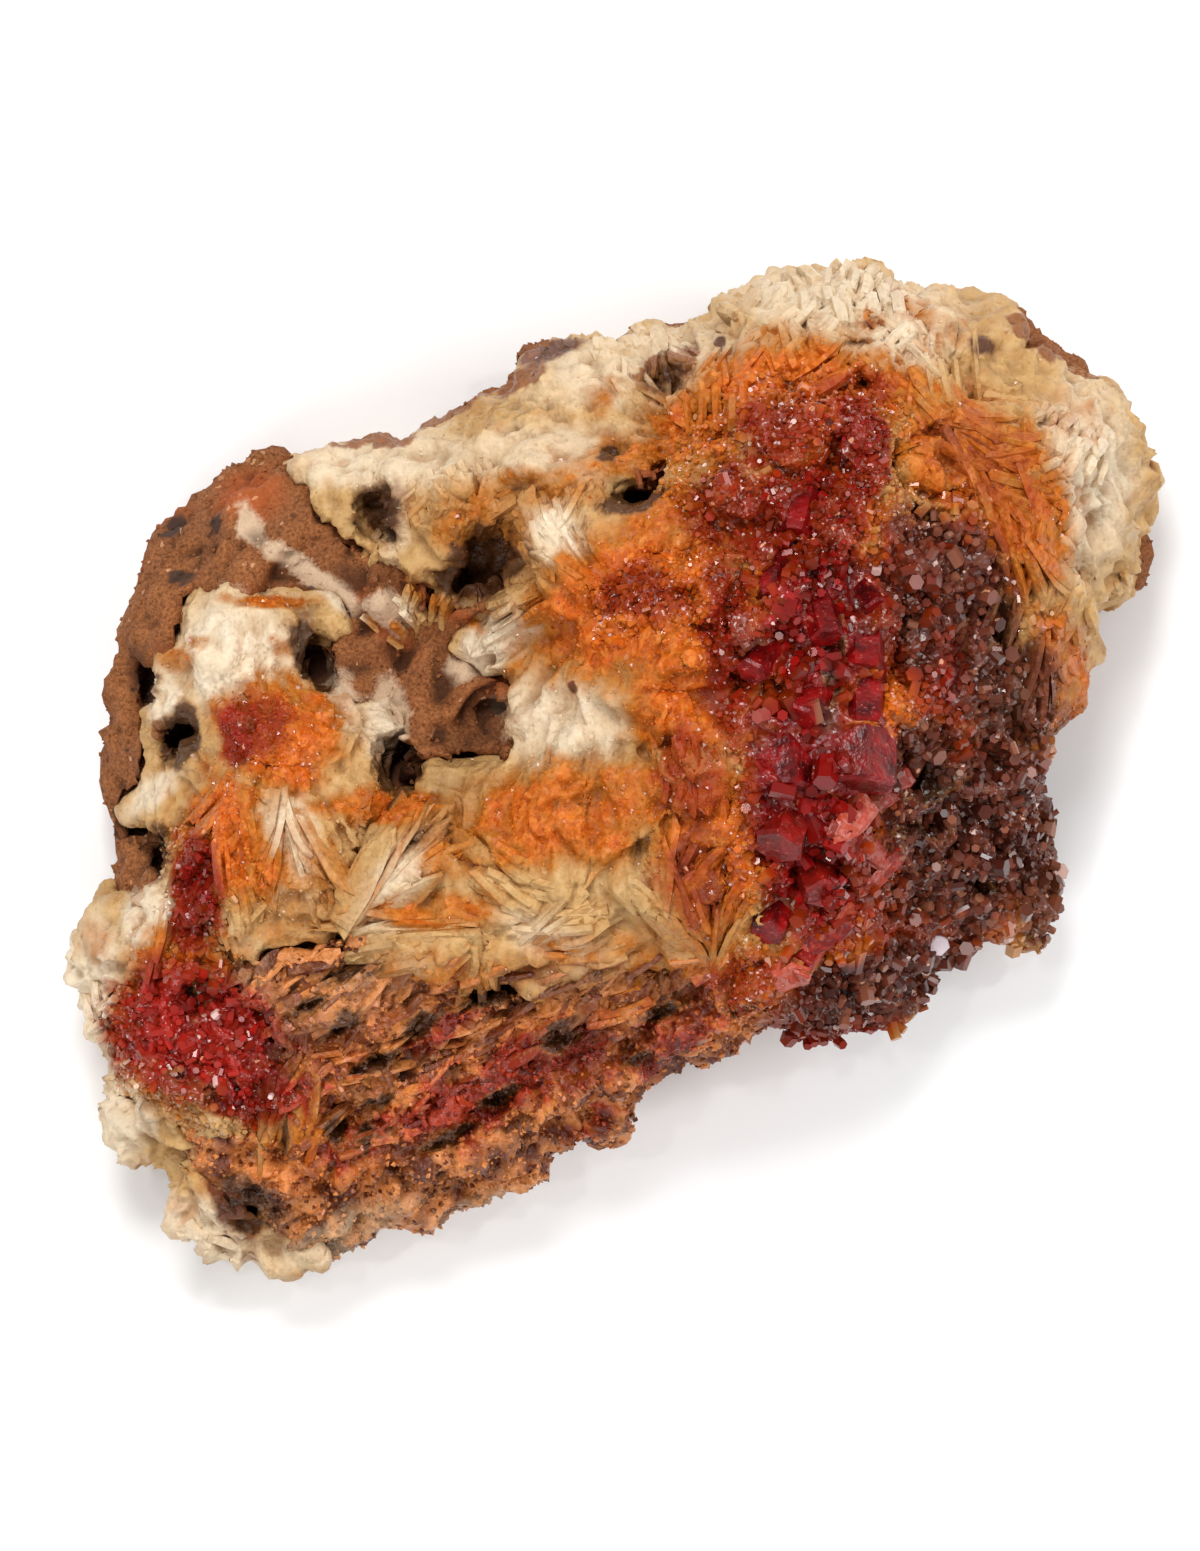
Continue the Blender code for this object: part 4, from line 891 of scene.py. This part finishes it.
def ribbon_material():
    """The pinkish orange plates of the ribbon, some of them deep red."""
    make = Finish("Ribbon_Barite")
    grain = make.noise(1500, 3.0)
    colour = make.blend(make.mask("tone"), linear(112, 14, 8), linear(190, 80, 52))
    colour = make.blend(make.contrast(grain, 0.5, 0.62) * 0.7, colour, linear(170, 44, 22))
    return make.finish(colour, 0.3, make.bump(grain, 0.4, 0.0002, make.facets(3000, 0.5)))


def druse_material():
    """Dark brown druse with red, grey glints from its facets, and painted highlights and shade."""
    make = Finish("Dark_Druse")
    grain = make.noise(1600, 3.0)
    colour = crust_colour(make, make.mask("tone"), grain)
    colour = shade_hollows(make, colour, 1.6, linear(16, 7, 6))
    return make.finish(colour, 0.25, make.facets(2600, 0.9))


def ledge_material():
    """Brown and orange ledges, dusted with fine dark red crystals, with painted glints and shade.
    """
    make = Finish("Ledge_Barite")
    grain = make.noise(1800, 3.0)
    patch = make.noise(300, 4.0)
    tone = make.mask("tone")
    shade = make.contrast(patch + (tone - 0.5) * 0.9, 0.3, 0.7)
    colour = make.blend(shade, linear(96, 40, 13), linear(214, 134, 72))
    colour = make.blend(make.mask("pale") * 0.7, colour, linear(206, 178, 138))
    stain = make.contrast(make.mask("orange") + (grain - 0.5) * 0.8 + (patch - 0.5) * 0.8, 0.2, 1.0)
    stain_tint = make.blend(tone, linear(164, 66, 8), linear(240, 136, 46))
    colour = make.blend(stain * 0.6, colour, stain_tint)
    rust = make.contrast(make.mask("red") + (grain - 0.5) * 0.6 + (patch - 0.5) * 1.6, 0.33, 0.7)
    colour = make.blend(rust * 0.9, colour, make.blend(tone, linear(82, 9, 4), linear(182, 42, 22)))
    colour = make.blend(make.mask("dark") * 0.85, colour, linear(48, 38, 32))
    colour = shade_hollows(make, colour, 1.3, linear(44, 21, 11))
    # Painted glints: pale flecks at random
    colour = make.blend(make.specks(2400) * 0.6, colour, linear(236, 160, 130))
    sugar = make.bump(grain, 0.6, 0.0003, make.facets(2600, 0.8))
    return make.finish(colour, 0.36, sugar, Specular_IOR_Level=0.45)


def floor_material():
    """The plain pale floor."""
    make = Finish("Pale_Floor")
    tint = make.noise(3.0, 1.0)
    colour = make.blend(tint, linear(250, 250, 250), linear(253, 253, 253))
    return make.finish(colour, 0.9, None)


FINISHES = {
    "rock": rock_material,
    "barite": barite_material,
    "vanadinite": vanadinite_material,
    "druse": druse_material,
    "crystal": crystal_material,
    "ribbon": ribbon_material,
    "prism": prism_material,
    "ledge": ledge_material,
}


# Shapes that are repeated, as vertices along +X or +Z and faces

def blade_shape():
    """A thin leaf-like plate: a mid outline that is sharp, and a smaller outline on each side."""
    outline = np.array([
        (-0.25, -0.40), (0.25, -0.50), (0.62, -0.46), (0.88, -0.28), (1.0, 0.0),
        (0.90, 0.26), (0.62, 0.45), (0.25, 0.50), (-0.25, 0.42),
    ])
    centre = outline.mean(axis=0)
    inner = centre + (outline - centre) * np.array([0.92, 0.72])
    rim = [(x, 0.0, z) for x, z in outline]
    left = [(x, -0.5, z) for x, z in inner]
    right = [(x, 0.5, z) for x, z in inner]
    count = len(outline)
    faces = []
    for index in range(count):
        after = (index + 1) % count
        faces.append((index, after, count + after))
        faces.append((index, count + after, count + index))
        faces.append((after, index, 2 * count + index))
        faces.append((after, 2 * count + index, 2 * count + after))
    for index in range(1, count - 1):
        faces.append((count, count + index, count + index + 1))
        faces.append((2 * count, 2 * count + index + 1, 2 * count + index))
    return np.array(rim + left + right), np.array(faces)


def prism_shape(sides=6, bevel=0.9, shoulder=None, root=-0.5):
    """An upright prism of radius 1 and length 1, whose end is bevelled if it has a shoulder."""
    rings = [(root, 1.0), (1.0, bevel)]
    if shoulder is not None:
        rings.insert(1, (shoulder, 1.0))
    places = []
    for height, spread in rings:
        for side in range(sides):
            turn = 2 * math.pi * side / sides
            places.append((spread * math.cos(turn), spread * math.sin(turn), height))
    faces = []
    top = (len(rings) - 1) * sides
    for ring in range(len(rings) - 1):
        for side in range(sides):
            after = (side + 1) % sides
            lower = ring * sides
            faces.append((lower + side, lower + after, lower + sides + after))
            faces.append((lower + side, lower + sides + after, lower + sides + side))
    for side in range(1, sides - 1):
        faces.append((top, top + side, top + side + 1))
        faces.append((0, side + 1, side))
    return np.array(places), np.array(faces)


def grain_shape():
    """A lopsided eight-faced grain of radius 1."""
    places = [(1, 0, 0.1), (0.1, 1, 0), (-1, 0.1, 0), (0, -0.9, 0.1), (0.1, 0, 1), (0, 0.1, -0.8)]
    faces = [(0, 1, 4), (1, 2, 4), (2, 3, 4), (3, 0, 4), (1, 0, 5), (2, 1, 5), (3, 2, 5), (0, 3, 5)]
    return np.array(places), np.array(faces)


def unit(vectors):
    """Vectors at length 1."""
    return vectors / np.maximum(np.linalg.norm(vectors, axis=-1, keepdims=True), 1e-9)


def frames_along(axis, draw):
    """Turn matrices whose last column lies along an axis, with a random turn about it."""
    side = unit(np.cross(axis, unit(draw.normal(size=axis.shape))))
    matrix = np.stack((side, np.cross(axis, side), axis), axis=-1)
    matrix[np.linalg.det(matrix) < 0, :, 1] *= -1
    return matrix


def joined_copies(name, shape, places, turns, sizes, tones, material, ragged=0.0, draw=None):
    """One mesh of many copies of a shape, each with its own place, turn, size and tone."""
    base, faces = shape
    count = len(places)
    local = base[None, :, :] * sizes[:, None, :]
    if ragged:
        local = local * (1 + draw.uniform(-ragged, ragged, size=local.shape))
    points = settle(np.einsum("nij,nkj->nki", turns, local) + places[:, None, :])
    all_faces = (faces[None, :, :] + np.arange(count)[:, None, None] * len(base)).reshape(-1, 3)
    mesh = bpy.data.meshes.new(name)
    mesh.vertices.add(count * len(base))
    set_points(mesh, points.reshape(-1, 3))
    mesh.loops.add(len(all_faces) * 3)
    mesh.polygons.add(len(all_faces))
    mesh.loops.foreach_set("vertex_index", all_faces.ravel())
    mesh.polygons.foreach_set("loop_start", np.arange(len(all_faces)) * 3)
    mesh.update(calc_edges=True)
    mesh.shade_flat()
    obj = link(name, mesh, material)
    paint_masks(mesh, points.reshape(-1, 3))
    set_mask(mesh, "tone", np.repeat(tones, len(base)))
    # Copies get no painted shade from hollows or grooves
    set_mask(mesh, "cavity", np.zeros(count * len(base)))
    set_mask(mesh, "ridge", np.full(count * len(base), 0.5))
    return obj


def triangles_of(obj):
    """Corner places, centres, normals and areas of a mesh's triangles, in millimetres."""
    mesh = obj.data
    mesh.calc_loop_triangles()
    corners = np.empty(len(mesh.loop_triangles) * 3, dtype=np.int64)
    mesh.loop_triangles.foreach_get("vertices", corners)
    points = points_of(mesh)[corners.reshape(-1, 3)]
    cross = np.cross(points[:, 1] - points[:, 0], points[:, 2] - points[:, 0])
    area = np.linalg.norm(cross, axis=1) / 2
    return points, points.mean(axis=1), unit(cross), area


def scatter(obj, count, draw, chance):
    """Places and normals spread over a mesh, where a chance weighs each triangle."""
    corners, centres, normals, area = triangles_of(obj)
    weight = area * chance(centres, normals)
    picked = draw.choice(len(area), size=count, p=weight / weight.sum())
    mix = draw.uniform(size=(count, 2))
    over = mix.sum(axis=1) > 1
    mix[over] = 1 - mix[over]
    first, second, third = (corners[picked, index] for index in range(3))
    places = first + (second - first) * mix[:, :1] + (third - first) * mix[:, 1:]
    return places, normals[picked]


class Ground:
    """The outer surface of all skins, read from above."""

    def __init__(self, skins):
        points = []
        faces = []
        start = 0
        for skin in skins:
            corners, _, normals, _ = triangles_of(skin)
            facing = corners[normals[:, 2] > 0.05]
            points.append(facing.reshape(-1, 3))
            faces.append(np.arange(len(facing) * 3).reshape(-1, 3) + start)
            start += len(facing) * 3
        self.tree = BVHTree.FromPolygons(
            [tuple(point) for point in np.concatenate(points)],
            [tuple(face) for face in np.concatenate(faces)],
        )

    def height(self, x, y):
        """Height of the surface at a place, or None beyond the outline."""
        hit = self.tree.ray_cast(Vector((x, y, ABOVE)), Vector((0, 0, -1)))
        return None if hit[0] is None else hit[0].z


def outward(centres, normals):
    """A chance of 1 on the outside of the specimen, and 0 under it and on the large prisms."""
    return (normals[:, 2] > -0.2) * (1 - painted(centres, PRISM_SPOTS, PRISM_SEED)) ** 2


# What the first step makes and the later ones use: the materials, the skins and the ground
STATE = {}


class Fan(NamedTuple):
    """A fan of barite blades; its angles are in degrees."""

    x: float
    y: float
    heading: float
    spread: float
    lift: float
    count: int
    length: float
    width: float
    thickness: float
    reach: float = 0.0


class Plate(NamedTuple):
    """One plate to lay on the ground; its angles are in radians."""

    x: float
    y: float
    heading: float
    lift: float
    length: float
    width: float
    thickness: float
    roll: float
    rise: float
    tone: float


def plate_reach(plate, run):
    """A plate's length, cut until its tip is over the specimen, and the height under its tip."""
    ground = STATE["ground"]
    length = plate.length
    first, later = TIP_SHARES
    end = ground.height(plate.x + run[0] * length * first, plate.y + run[1] * length * first)
    while end is None and length > SHORTEST_PLATE:
        length *= 0.8
        end = ground.height(plate.x + run[0] * length * later, plate.y + run[1] * length * later)
    return length, end


def plate_turn(run, slope, roll):
    """The turn of a plate that runs one way, climbs by a slope and is rolled about its length."""
    axis = np.array((run[0] * math.cos(slope), run[1] * math.cos(slope), math.sin(slope)))
    side = np.array((-run[1], run[0], 0.0))
    turned = side * math.cos(roll) + np.cross(axis, side) * math.sin(roll)
    return np.stack((axis, turned, np.cross(axis, turned)), axis=-1)


def lay_blades(name, plates, material, draw):
    """Lay plates on the ground as one mesh, and leave out those with no ground under them."""
    places, turns, sizes, tones = [], [], [], []
    for plate in plates:
        run = (math.cos(plate.heading), math.sin(plate.heading))
        start = STATE["ground"].height(plate.x, plate.y)
        length, end = plate_reach(plate, run)
        if start is None or end is None:
            continue
        slope = math.atan2(end - start, length * TIP_SHARES[0])
        slope = max(STEEPEST[0], min(STEEPEST[1], slope)) + plate.lift
        sunk = 0.5 * plate.width * abs(math.cos(plate.roll))
        places.append((plate.x, plate.y, start + plate.rise - sunk))
        turns.append(plate_turn(run, slope, plate.roll))
        sizes.append((length, plate.thickness, plate.width))
        tones.append(plate.tone)
    return joined_copies(
        name, blade_shape(), np.array(places), np.array(turns), np.array(sizes), np.array(tones),
        material, 0.12, draw,
    )


def colour_setting(name, description, default):
    """A colour that a user can change."""
    return bpy.props.FloatVectorProperty(
        name=name, description=description, subtype="COLOR", size=4,
        min=0.0, max=1.0, default=default,
    )


def length_setting(name, description, default):
    """A length that a user can change, with its default in metres."""
    return bpy.props.FloatProperty(
        name=name, description=description, unit="LENGTH", precision=5, min=0.0, default=default
    )


def count_setting(name, description, default):
    """A number of things that a user can change."""
    return bpy.props.IntProperty(name=name, description=description, min=0, default=default)


class SpecimenSettings(bpy.types.PropertyGroup):
    """Sizes, amounts and colours that a user would change."""

    seed: count_setting("Seed", "Start of all random draws", 5)
    rock_grains: count_setting("Rock grains", "Number of sandy grains on the host rock", 6000)
    red_crystals: count_setting("Red crystals", "Number of small vanadinite prisms", 3600)
    druse_crystals: count_setting("Druse crystals", "Number of crystals in the dark druse", 2200)
    sugar_grains: count_setting("Sugar grains", "Number of fine grains on the growths", 30000)
    warp_reach: length_setting("Warp", "How far the borders of the growths wander", 0.0011)
    hollow_depth: length_setting("Hole depth", "How deep the holes in the growths are", 0.0018)
    prism_rise: length_setting("Prism rise", "How far the large prisms stand out", 0.00045)
    rock_brown: colour_setting("Rock", "Lighter brown of the host rock", linear(184, 118, 70))
    cream: colour_setting("Cream", "Lighter tint of plain barite", linear(216, 182, 128))
    white: colour_setting("White", "Lighter tint of white barite", linear(238, 226, 204))
    honey: colour_setting("Honey", "Tint of lightly stained barite", linear(202, 128, 46))
    orange: colour_setting("Orange", "Tint of strongly stained barite", linear(236, 118, 24))
    rust: colour_setting("Rust", "Tint where the stain turns red", linear(180, 66, 16))
    crimson: colour_setting("Crimson", "Lighter red of the vanadinite crust", linear(156, 20, 14))
    druse_brown: colour_setting("Druse", "Lighter brown of the dark druse", linear(124, 65, 46))


class SPECIMEN_OT_skins(bpy.types.Operator):
    """Skin every solid of the specimen"""

    bl_idname = "specimen.skins"
    bl_label = "Skins"

    def execute(self, context):
        for name, make_material in FINISHES.items():
            STATE[name] = make_material()
        STATE["skins"] = {
            node: make_skin(node, skin, STATE[skin.finish]) for node, skin in SKINS.items()
        }
        STATE["ground"] = Ground(STATE["skins"].values())
        return {"FINISHED"}


class SPECIMEN_OT_blades(bpy.types.Operator):
    """Lay the fans of barite blades, the plates of the ledges and the pale ribbon"""

    bl_idname = "specimen.blades"
    bl_label = "Blades"

    def execute(self, context):
        draw = np.random.default_rng(context.scene.specimen.seed)
        plates = [plate for fan in BLADE_FANS for plate in self.loose_fan(Fan(*fan), draw)]
        plates += [plate for fan in LARGE_FANS for plate in self.even_fan(Fan(*fan), draw)]
        lay_blades("barite_blades", plates, STATE["barite"], draw)
        plates = self.ledge_plates(draw)
        lay_blades("ledge_plates", plates, STATE["ledge"], draw)
        plates = self.ribbon_plates(draw)
        lay_blades("ribbon_plates", plates, STATE["ribbon"], draw)
        return {"FINISHED"}

    def loose_fan(self, fan, draw):
        """Books of a few plates each, strewn over a fan."""
        plates = []
        for _ in range(fan.count):
            aim = fan.heading + draw.uniform(-0.5, 0.5) * fan.spread + draw.uniform(-6, 6)
            turn = math.radians(aim)
            away = draw.uniform(-0.1, 0.75) * fan.length
            book_x = fan.x + draw.uniform(-fan.reach, fan.reach) * 0.8 + math.cos(turn) * away
            book_y = fan.y + draw.uniform(-fan.reach, fan.reach) * 0.8 + math.sin(turn) * away
            plates += self.book(fan, book_x, book_y, turn, draw)
        return plates

    def book(self, fan, book_x, book_y, turn, draw):
        """A few plates side by side, alike in size, roll and tone."""
        roll = draw.normal(0, 24)
        size = draw.uniform(0.4, 0.9)
        tone = draw.uniform()
        plates = []
        for sheet in range(draw.integers(3, 7)):
            aside = (sheet - 2.5) * fan.thickness * draw.uniform(0.9, 1.5)
            along = draw.uniform(-0.12, 0.12) * fan.length
            plates.append(Plate(
                x=book_x - math.sin(turn) * aside + math.cos(turn) * along,
                y=book_y + math.cos(turn) * aside + math.sin(turn) * along,
                heading=turn + math.radians(draw.uniform(-5, 5)),
                lift=math.radians(fan.lift + draw.uniform(-3, 5)),
                length=fan.length * size * draw.uniform(0.7, 1.1),
                width=fan.width * draw.uniform(0.7, 1.1),
                thickness=fan.thickness * draw.uniform(0.6, 1.2),
                roll=math.radians(roll + draw.uniform(-8, 8)),
                rise=draw.uniform(0.0, 0.5),
                tone=0.6 * tone + 0.35 * draw.uniform(),
            ))
        return plates

    def even_fan(self, fan, draw):
        """Large plates set out evenly about one root, each with another that starts beyond it."""
        plates = []
        for number in range(fan.count):
            share = (number + 0.5) / fan.count - 0.5
            turn = math.radians(fan.heading + share * fan.spread + draw.uniform(-2, 2))
            for layer in range(2):
                away = draw.uniform(0.05, 0.2) * fan.length + layer * 0.3 * fan.length
                aside = (number / fan.count - 0.5) * 2.0 + draw.uniform(-0.3, 0.3)
                plates.append(Plate(
                    x=fan.x + math.cos(turn) * away - math.sin(turn) * aside,
                    y=fan.y + math.sin(turn) * away + math.cos(turn) * aside,
                    heading=turn + math.radians(draw.uniform(-4, 4)),
                    lift=math.radians(fan.lift + draw.uniform(-2, 4)),
                    length=fan.length * draw.uniform(0.5, 0.8),
                    width=fan.width * draw.uniform(0.8, 1.1),
                    thickness=fan.thickness * draw.uniform(0.6, 1.1),
                    roll=math.radians(draw.normal(share * 100, 8)),
                    rise=draw.uniform(0.1, 0.6),
                    tone=0.15 + 0.7 * draw.uniform(),
                ))
        return plates

    def ledge_plates(self, draw):
        """Small plates that lie along the ledges."""
        x, y, heading, lines, line_step, count, plate_step, length, width, thickness = LEDGE_FIELD
        angle = math.radians(heading)
        plates = []
        for line, number in itertools.product(range(lines), range(count)):
            along = plate_step * (number + 0.5 * (line % 2)) + draw.uniform(-1.2, 1.2)
            across = line_step * line + draw.uniform(-0.6, 0.6)
            root_x = x + math.cos(angle) * along + math.sin(angle) * across
            root_y = y + math.sin(angle) * along - math.cos(angle) * across
            if root_y > LEDGE_TOP + draw.uniform(-1.2, 1.2):
                continue
            plates.append(Plate(
                x=root_x,
                y=root_y,
                heading=angle + math.radians(draw.uniform(-24, 24)),
                lift=math.radians(draw.uniform(-4, 8)),
                length=length * draw.uniform(0.5, 1.2),
                width=width * draw.uniform(0.6, 1.4),
                thickness=thickness * draw.uniform(0.7, 1.6),
                roll=math.radians(draw.uniform(20, 80)),
                rise=draw.uniform(-0.2, 0.35),
                tone=0.95 * draw.uniform(),
            ))
        return plates

    def ribbon_plates(self, draw):
        """Plates in pairs along the ribbon, each turned a little from the last."""
        width, thickness = RIBBON_SIZE
        plates = []
        for start, end in zip(RIBBON, RIBBON[1:]):
            run_x, run_y = end[0] - start[0], end[1] - start[1]
            span = math.dist(start, end)
            pieces = max(2, round(span / RIBBON_STEP))
            for number in range(2 * pieces):
                share = (number // 2 + draw.uniform(-0.3, 0.3)) / pieces
                plates.append(Plate(
                    x=start[0] + run_x * share + draw.uniform(-0.6, 0.6),
                    y=start[1] + run_y * share + draw.uniform(-0.6, 0.6),
                    heading=math.atan2(run_y, run_x) + math.radians(draw.uniform(-16, 16)),
                    lift=math.radians(draw.uniform(-2, 6)),
                    length=span / pieces * draw.uniform(1.1, 1.7),
                    width=width * draw.uniform(0.6, 1.0),
                    thickness=thickness,
                    roll=math.radians(RIBBON_ROLL + draw.uniform(-26, 26)),
                    rise=draw.uniform(0.3, 1.1),
                    tone=draw.uniform(),
                ))
        return plates


class SPECIMEN_OT_crystals(bpy.types.Operator):
    """Grow the vanadinite prisms and the crystals of the dark druse"""

    bl_idname = "specimen.crystals"
    bl_label = "Crystals"

    def execute(self, context):
        settings = context.scene.specimen
        draw = np.random.default_rng(settings.seed + 1)
        self.grow_large(settings.prism_rise / MM, draw)
        for node, share in RED_SHARES.items():
            count = int(settings.red_crystals * share)
            self.grow_prisms(node, count, RED_PRISM, draw, coarse=True)
        self.grow_prisms("dark_druse", settings.druse_crystals, DRUSE_PRISM, draw)
        return {"FINISHED"}

    def grow_large(self, rise, draw):
        """The few large prisms, half sunk in their bed and rolled a little from a level face."""
        places, axes, sizes = [], [], []
        for x, y, radius, length, heading, lean in LARGE_PRISMS:
            turn = math.radians(heading)
            tilt = math.radians(lean)
            flat = math.sin(tilt)
            places.append((x, y, STATE["ground"].height(x, y) + rise - 0.87 * radius / flat))
            axes.append((flat * math.cos(turn), flat * math.sin(turn), math.cos(tilt)))
            sizes.append((radius, radius, length))
        axes = np.array(axes)
        level = unit(np.cross(axes, (0.0, 0.0, 1.0)))
        roll = draw.uniform(12, 20, len(axes)) * draw.choice((-1, 1), len(axes))
        roll = np.radians(roll)[:, None]
        side = level * np.cos(roll) + np.cross(axes, level) * np.sin(roll)
        turns = np.stack((side, np.cross(axes, side), axes), axis=-1)
        tones = draw.uniform(0.2, 0.8, len(places))
        tones[-1] = LILAC_TONE
        joined_copies(
            "vanadinite_prisms", prism_shape(bevel=0.86, shoulder=0.9, root=-0.6),
            np.array(places), turns, np.array(sizes), tones, STATE["prism"],
        )

    def grow_prisms(self, node, count, radii, draw, coarse=False):
        """Small prisms all over a crust, larger where it is coarse."""
        places, normals = scatter(STATE["skins"][node], count, draw, outward)
        axes = unit(normals + draw.normal(scale=0.55, size=normals.shape))
        radius = draw.uniform(*radii, count) * np.where(draw.uniform(size=count) < 0.1, 1.7, 1.0)
        if coarse:
            radius *= 0.7 + 0.9 * painted(places, COARSE_SPOTS, COARSE_SEED)
        sizes = np.stack((radius, radius, radius * draw.uniform(1.0, 2.0, count)), axis=-1)
        joined_copies(
            node + "_crystals", prism_shape(), places, frames_along(axes, draw), sizes,
            draw.uniform(0.0, TOP_TONE, count), STATE["crystal"],
        )


class SPECIMEN_OT_grains(bpy.types.Operator):
    """Strew the sandy grains of the rock and the fine sugar of crystals on the growths"""

    bl_idname = "specimen.grains"
    bl_label = "Grains"

    def execute(self, context):
        settings = context.scene.specimen
        draw = np.random.default_rng(settings.seed + 2)
        self.strew("host_rock", settings.rock_grains, ROCK_GRAIN, "rock", False, draw)
        for node, (share, radii, stained) in SUGAR.items():
            finish = "ledge" if node == "barite_ledges" else "crystal"
            self.strew(node, int(settings.sugar_grains * share), radii, finish, stained, draw)
        return {"FINISHED"}

    def strew(self, node, count, radii, finish, stained, draw):
        """Grains over one skin; when stained is set, thickest where it is stained."""
        chance = self.stained_chance if stained else outward
        places, normals = scatter(STATE["skins"][node], count, draw, chance)
        radius = draw.uniform(*radii, count)
        sizes = radius[:, None] * draw.uniform(0.8, 1.25, size=(count, 3))
        turns = frames_along(unit(draw.normal(size=normals.shape)), draw)
        joined_copies(
            node + "_grains", grain_shape(), places, turns, sizes, draw.uniform(size=count),
            STATE[finish],
        )

    def stained_chance(self, centres, normals):
        """A chance that is high on stained places and low on the plain barite."""
        stain = painted(centres, ORANGE_SPOTS, MASKS["orange"][1])
        rust = painted(centres, RED_SPOTS, MASKS["red"][1])
        return outward(centres, normals) * (0.03 + np.clip(0.7 * stain + rust, 0, 1) ** 2)


class SPECIMEN_OT_stage(bpy.types.Operator):
    """Set the pale floor, the soft lights and the camera"""

    bl_idname = "specimen.stage"
    bl_label = "Stage"

    def execute(self, context):
        self.lay_floor()
        self.set_lights(context)
        self.set_camera(context)
        return {"FINISHED"}

    def lay_floor(self):
        """A wide floor just under the cut back."""
        bpy.ops.object.select_all(action="DESELECT")
        bpy.ops.mesh.primitive_grid_add(
            x_subdivisions=8, y_subdivisions=8, size=FLOOR_SIDE, location=(0, 0, -FLOOR_GAP)
        )
        floor = bpy.context.active_object
        floor.name = "pale_floor"
        floor.data.materials.append(floor_material())

    def set_lights(self, context):
        """A broad key from the far side, a weak fill, small lights for glints and a surrounding."""
        world = bpy.data.worlds.new("studio")
        world.use_nodes = True
        background = world.node_tree.nodes["Background"]
        background.inputs["Color"].default_value = (1, 1, 1, 1)
        background.inputs["Strength"].default_value = SURROUND
        context.scene.world = world
        for name, place, size, power in LIGHTS:
            data = bpy.data.lights.new(name, "AREA")
            data.size = size
            data.energy = power
            lamp = bpy.data.objects.new(name, data)
            lamp.location = place
            lamp.rotation_euler = (-Vector(place)).to_track_quat("-Z", "Y").to_euler()
            context.scene.collection.objects.link(lamp)
        context.scene.view_settings.view_transform = "Standard"

    def set_camera(self, context):
        """Straight down on the crystal face, with a long lens."""
        data = bpy.data.cameras.new("camera")
        data.sensor_width = SENSOR
        data.lens = SENSOR * CAMERA_DISTANCE / FRAME_HEIGHT
        camera = bpy.data.objects.new("camera", data)
        camera.location = (0, 0, SUBJECT_HEIGHT + CAMERA_DISTANCE)
        context.scene.collection.objects.link(camera)
        context.scene.camera = camera


class SPECIMEN_PT_panel(bpy.types.Panel):
    """The steps of the specimen, in order"""

    bl_label = "Specimen"
    bl_idname = "SPECIMEN_PT_panel"
    bl_space_type = "VIEW_3D"
    bl_region_type = "UI"
    bl_category = "Specimen"

    def draw(self, context):
        settings = context.scene.specimen
        for name in settings.bl_rna.properties.keys():
            if name not in ("rna_type", "name"):
                self.layout.prop(settings, name)
        for operator in OPERATORS:
            self.layout.operator(operator.bl_idname)


OPERATORS = (
    SPECIMEN_OT_skins,
    SPECIMEN_OT_blades,
    SPECIMEN_OT_crystals,
    SPECIMEN_OT_grains,
    SPECIMEN_OT_stage,
)
CLASSES = (SpecimenSettings, *OPERATORS, SPECIMEN_PT_panel)


def register():
    """Register the classes and the settings."""
    for cls in CLASSES:
        bpy.utils.register_class(cls)
    bpy.types.Scene.specimen = bpy.props.PointerProperty(type=SpecimenSettings)


def unregister():
    """Take the settings and the classes out again."""
    del bpy.types.Scene.specimen
    for cls in reversed(CLASSES):
        bpy.utils.unregister_class(cls)


def main():
    """Build the whole specimen on its stage."""
    register()
    bpy.ops.specimen.skins()
    bpy.ops.specimen.blades()
    bpy.ops.specimen.crystals()
    bpy.ops.specimen.grains()
    bpy.ops.specimen.stage()


if __name__ == "__main__":
    main()
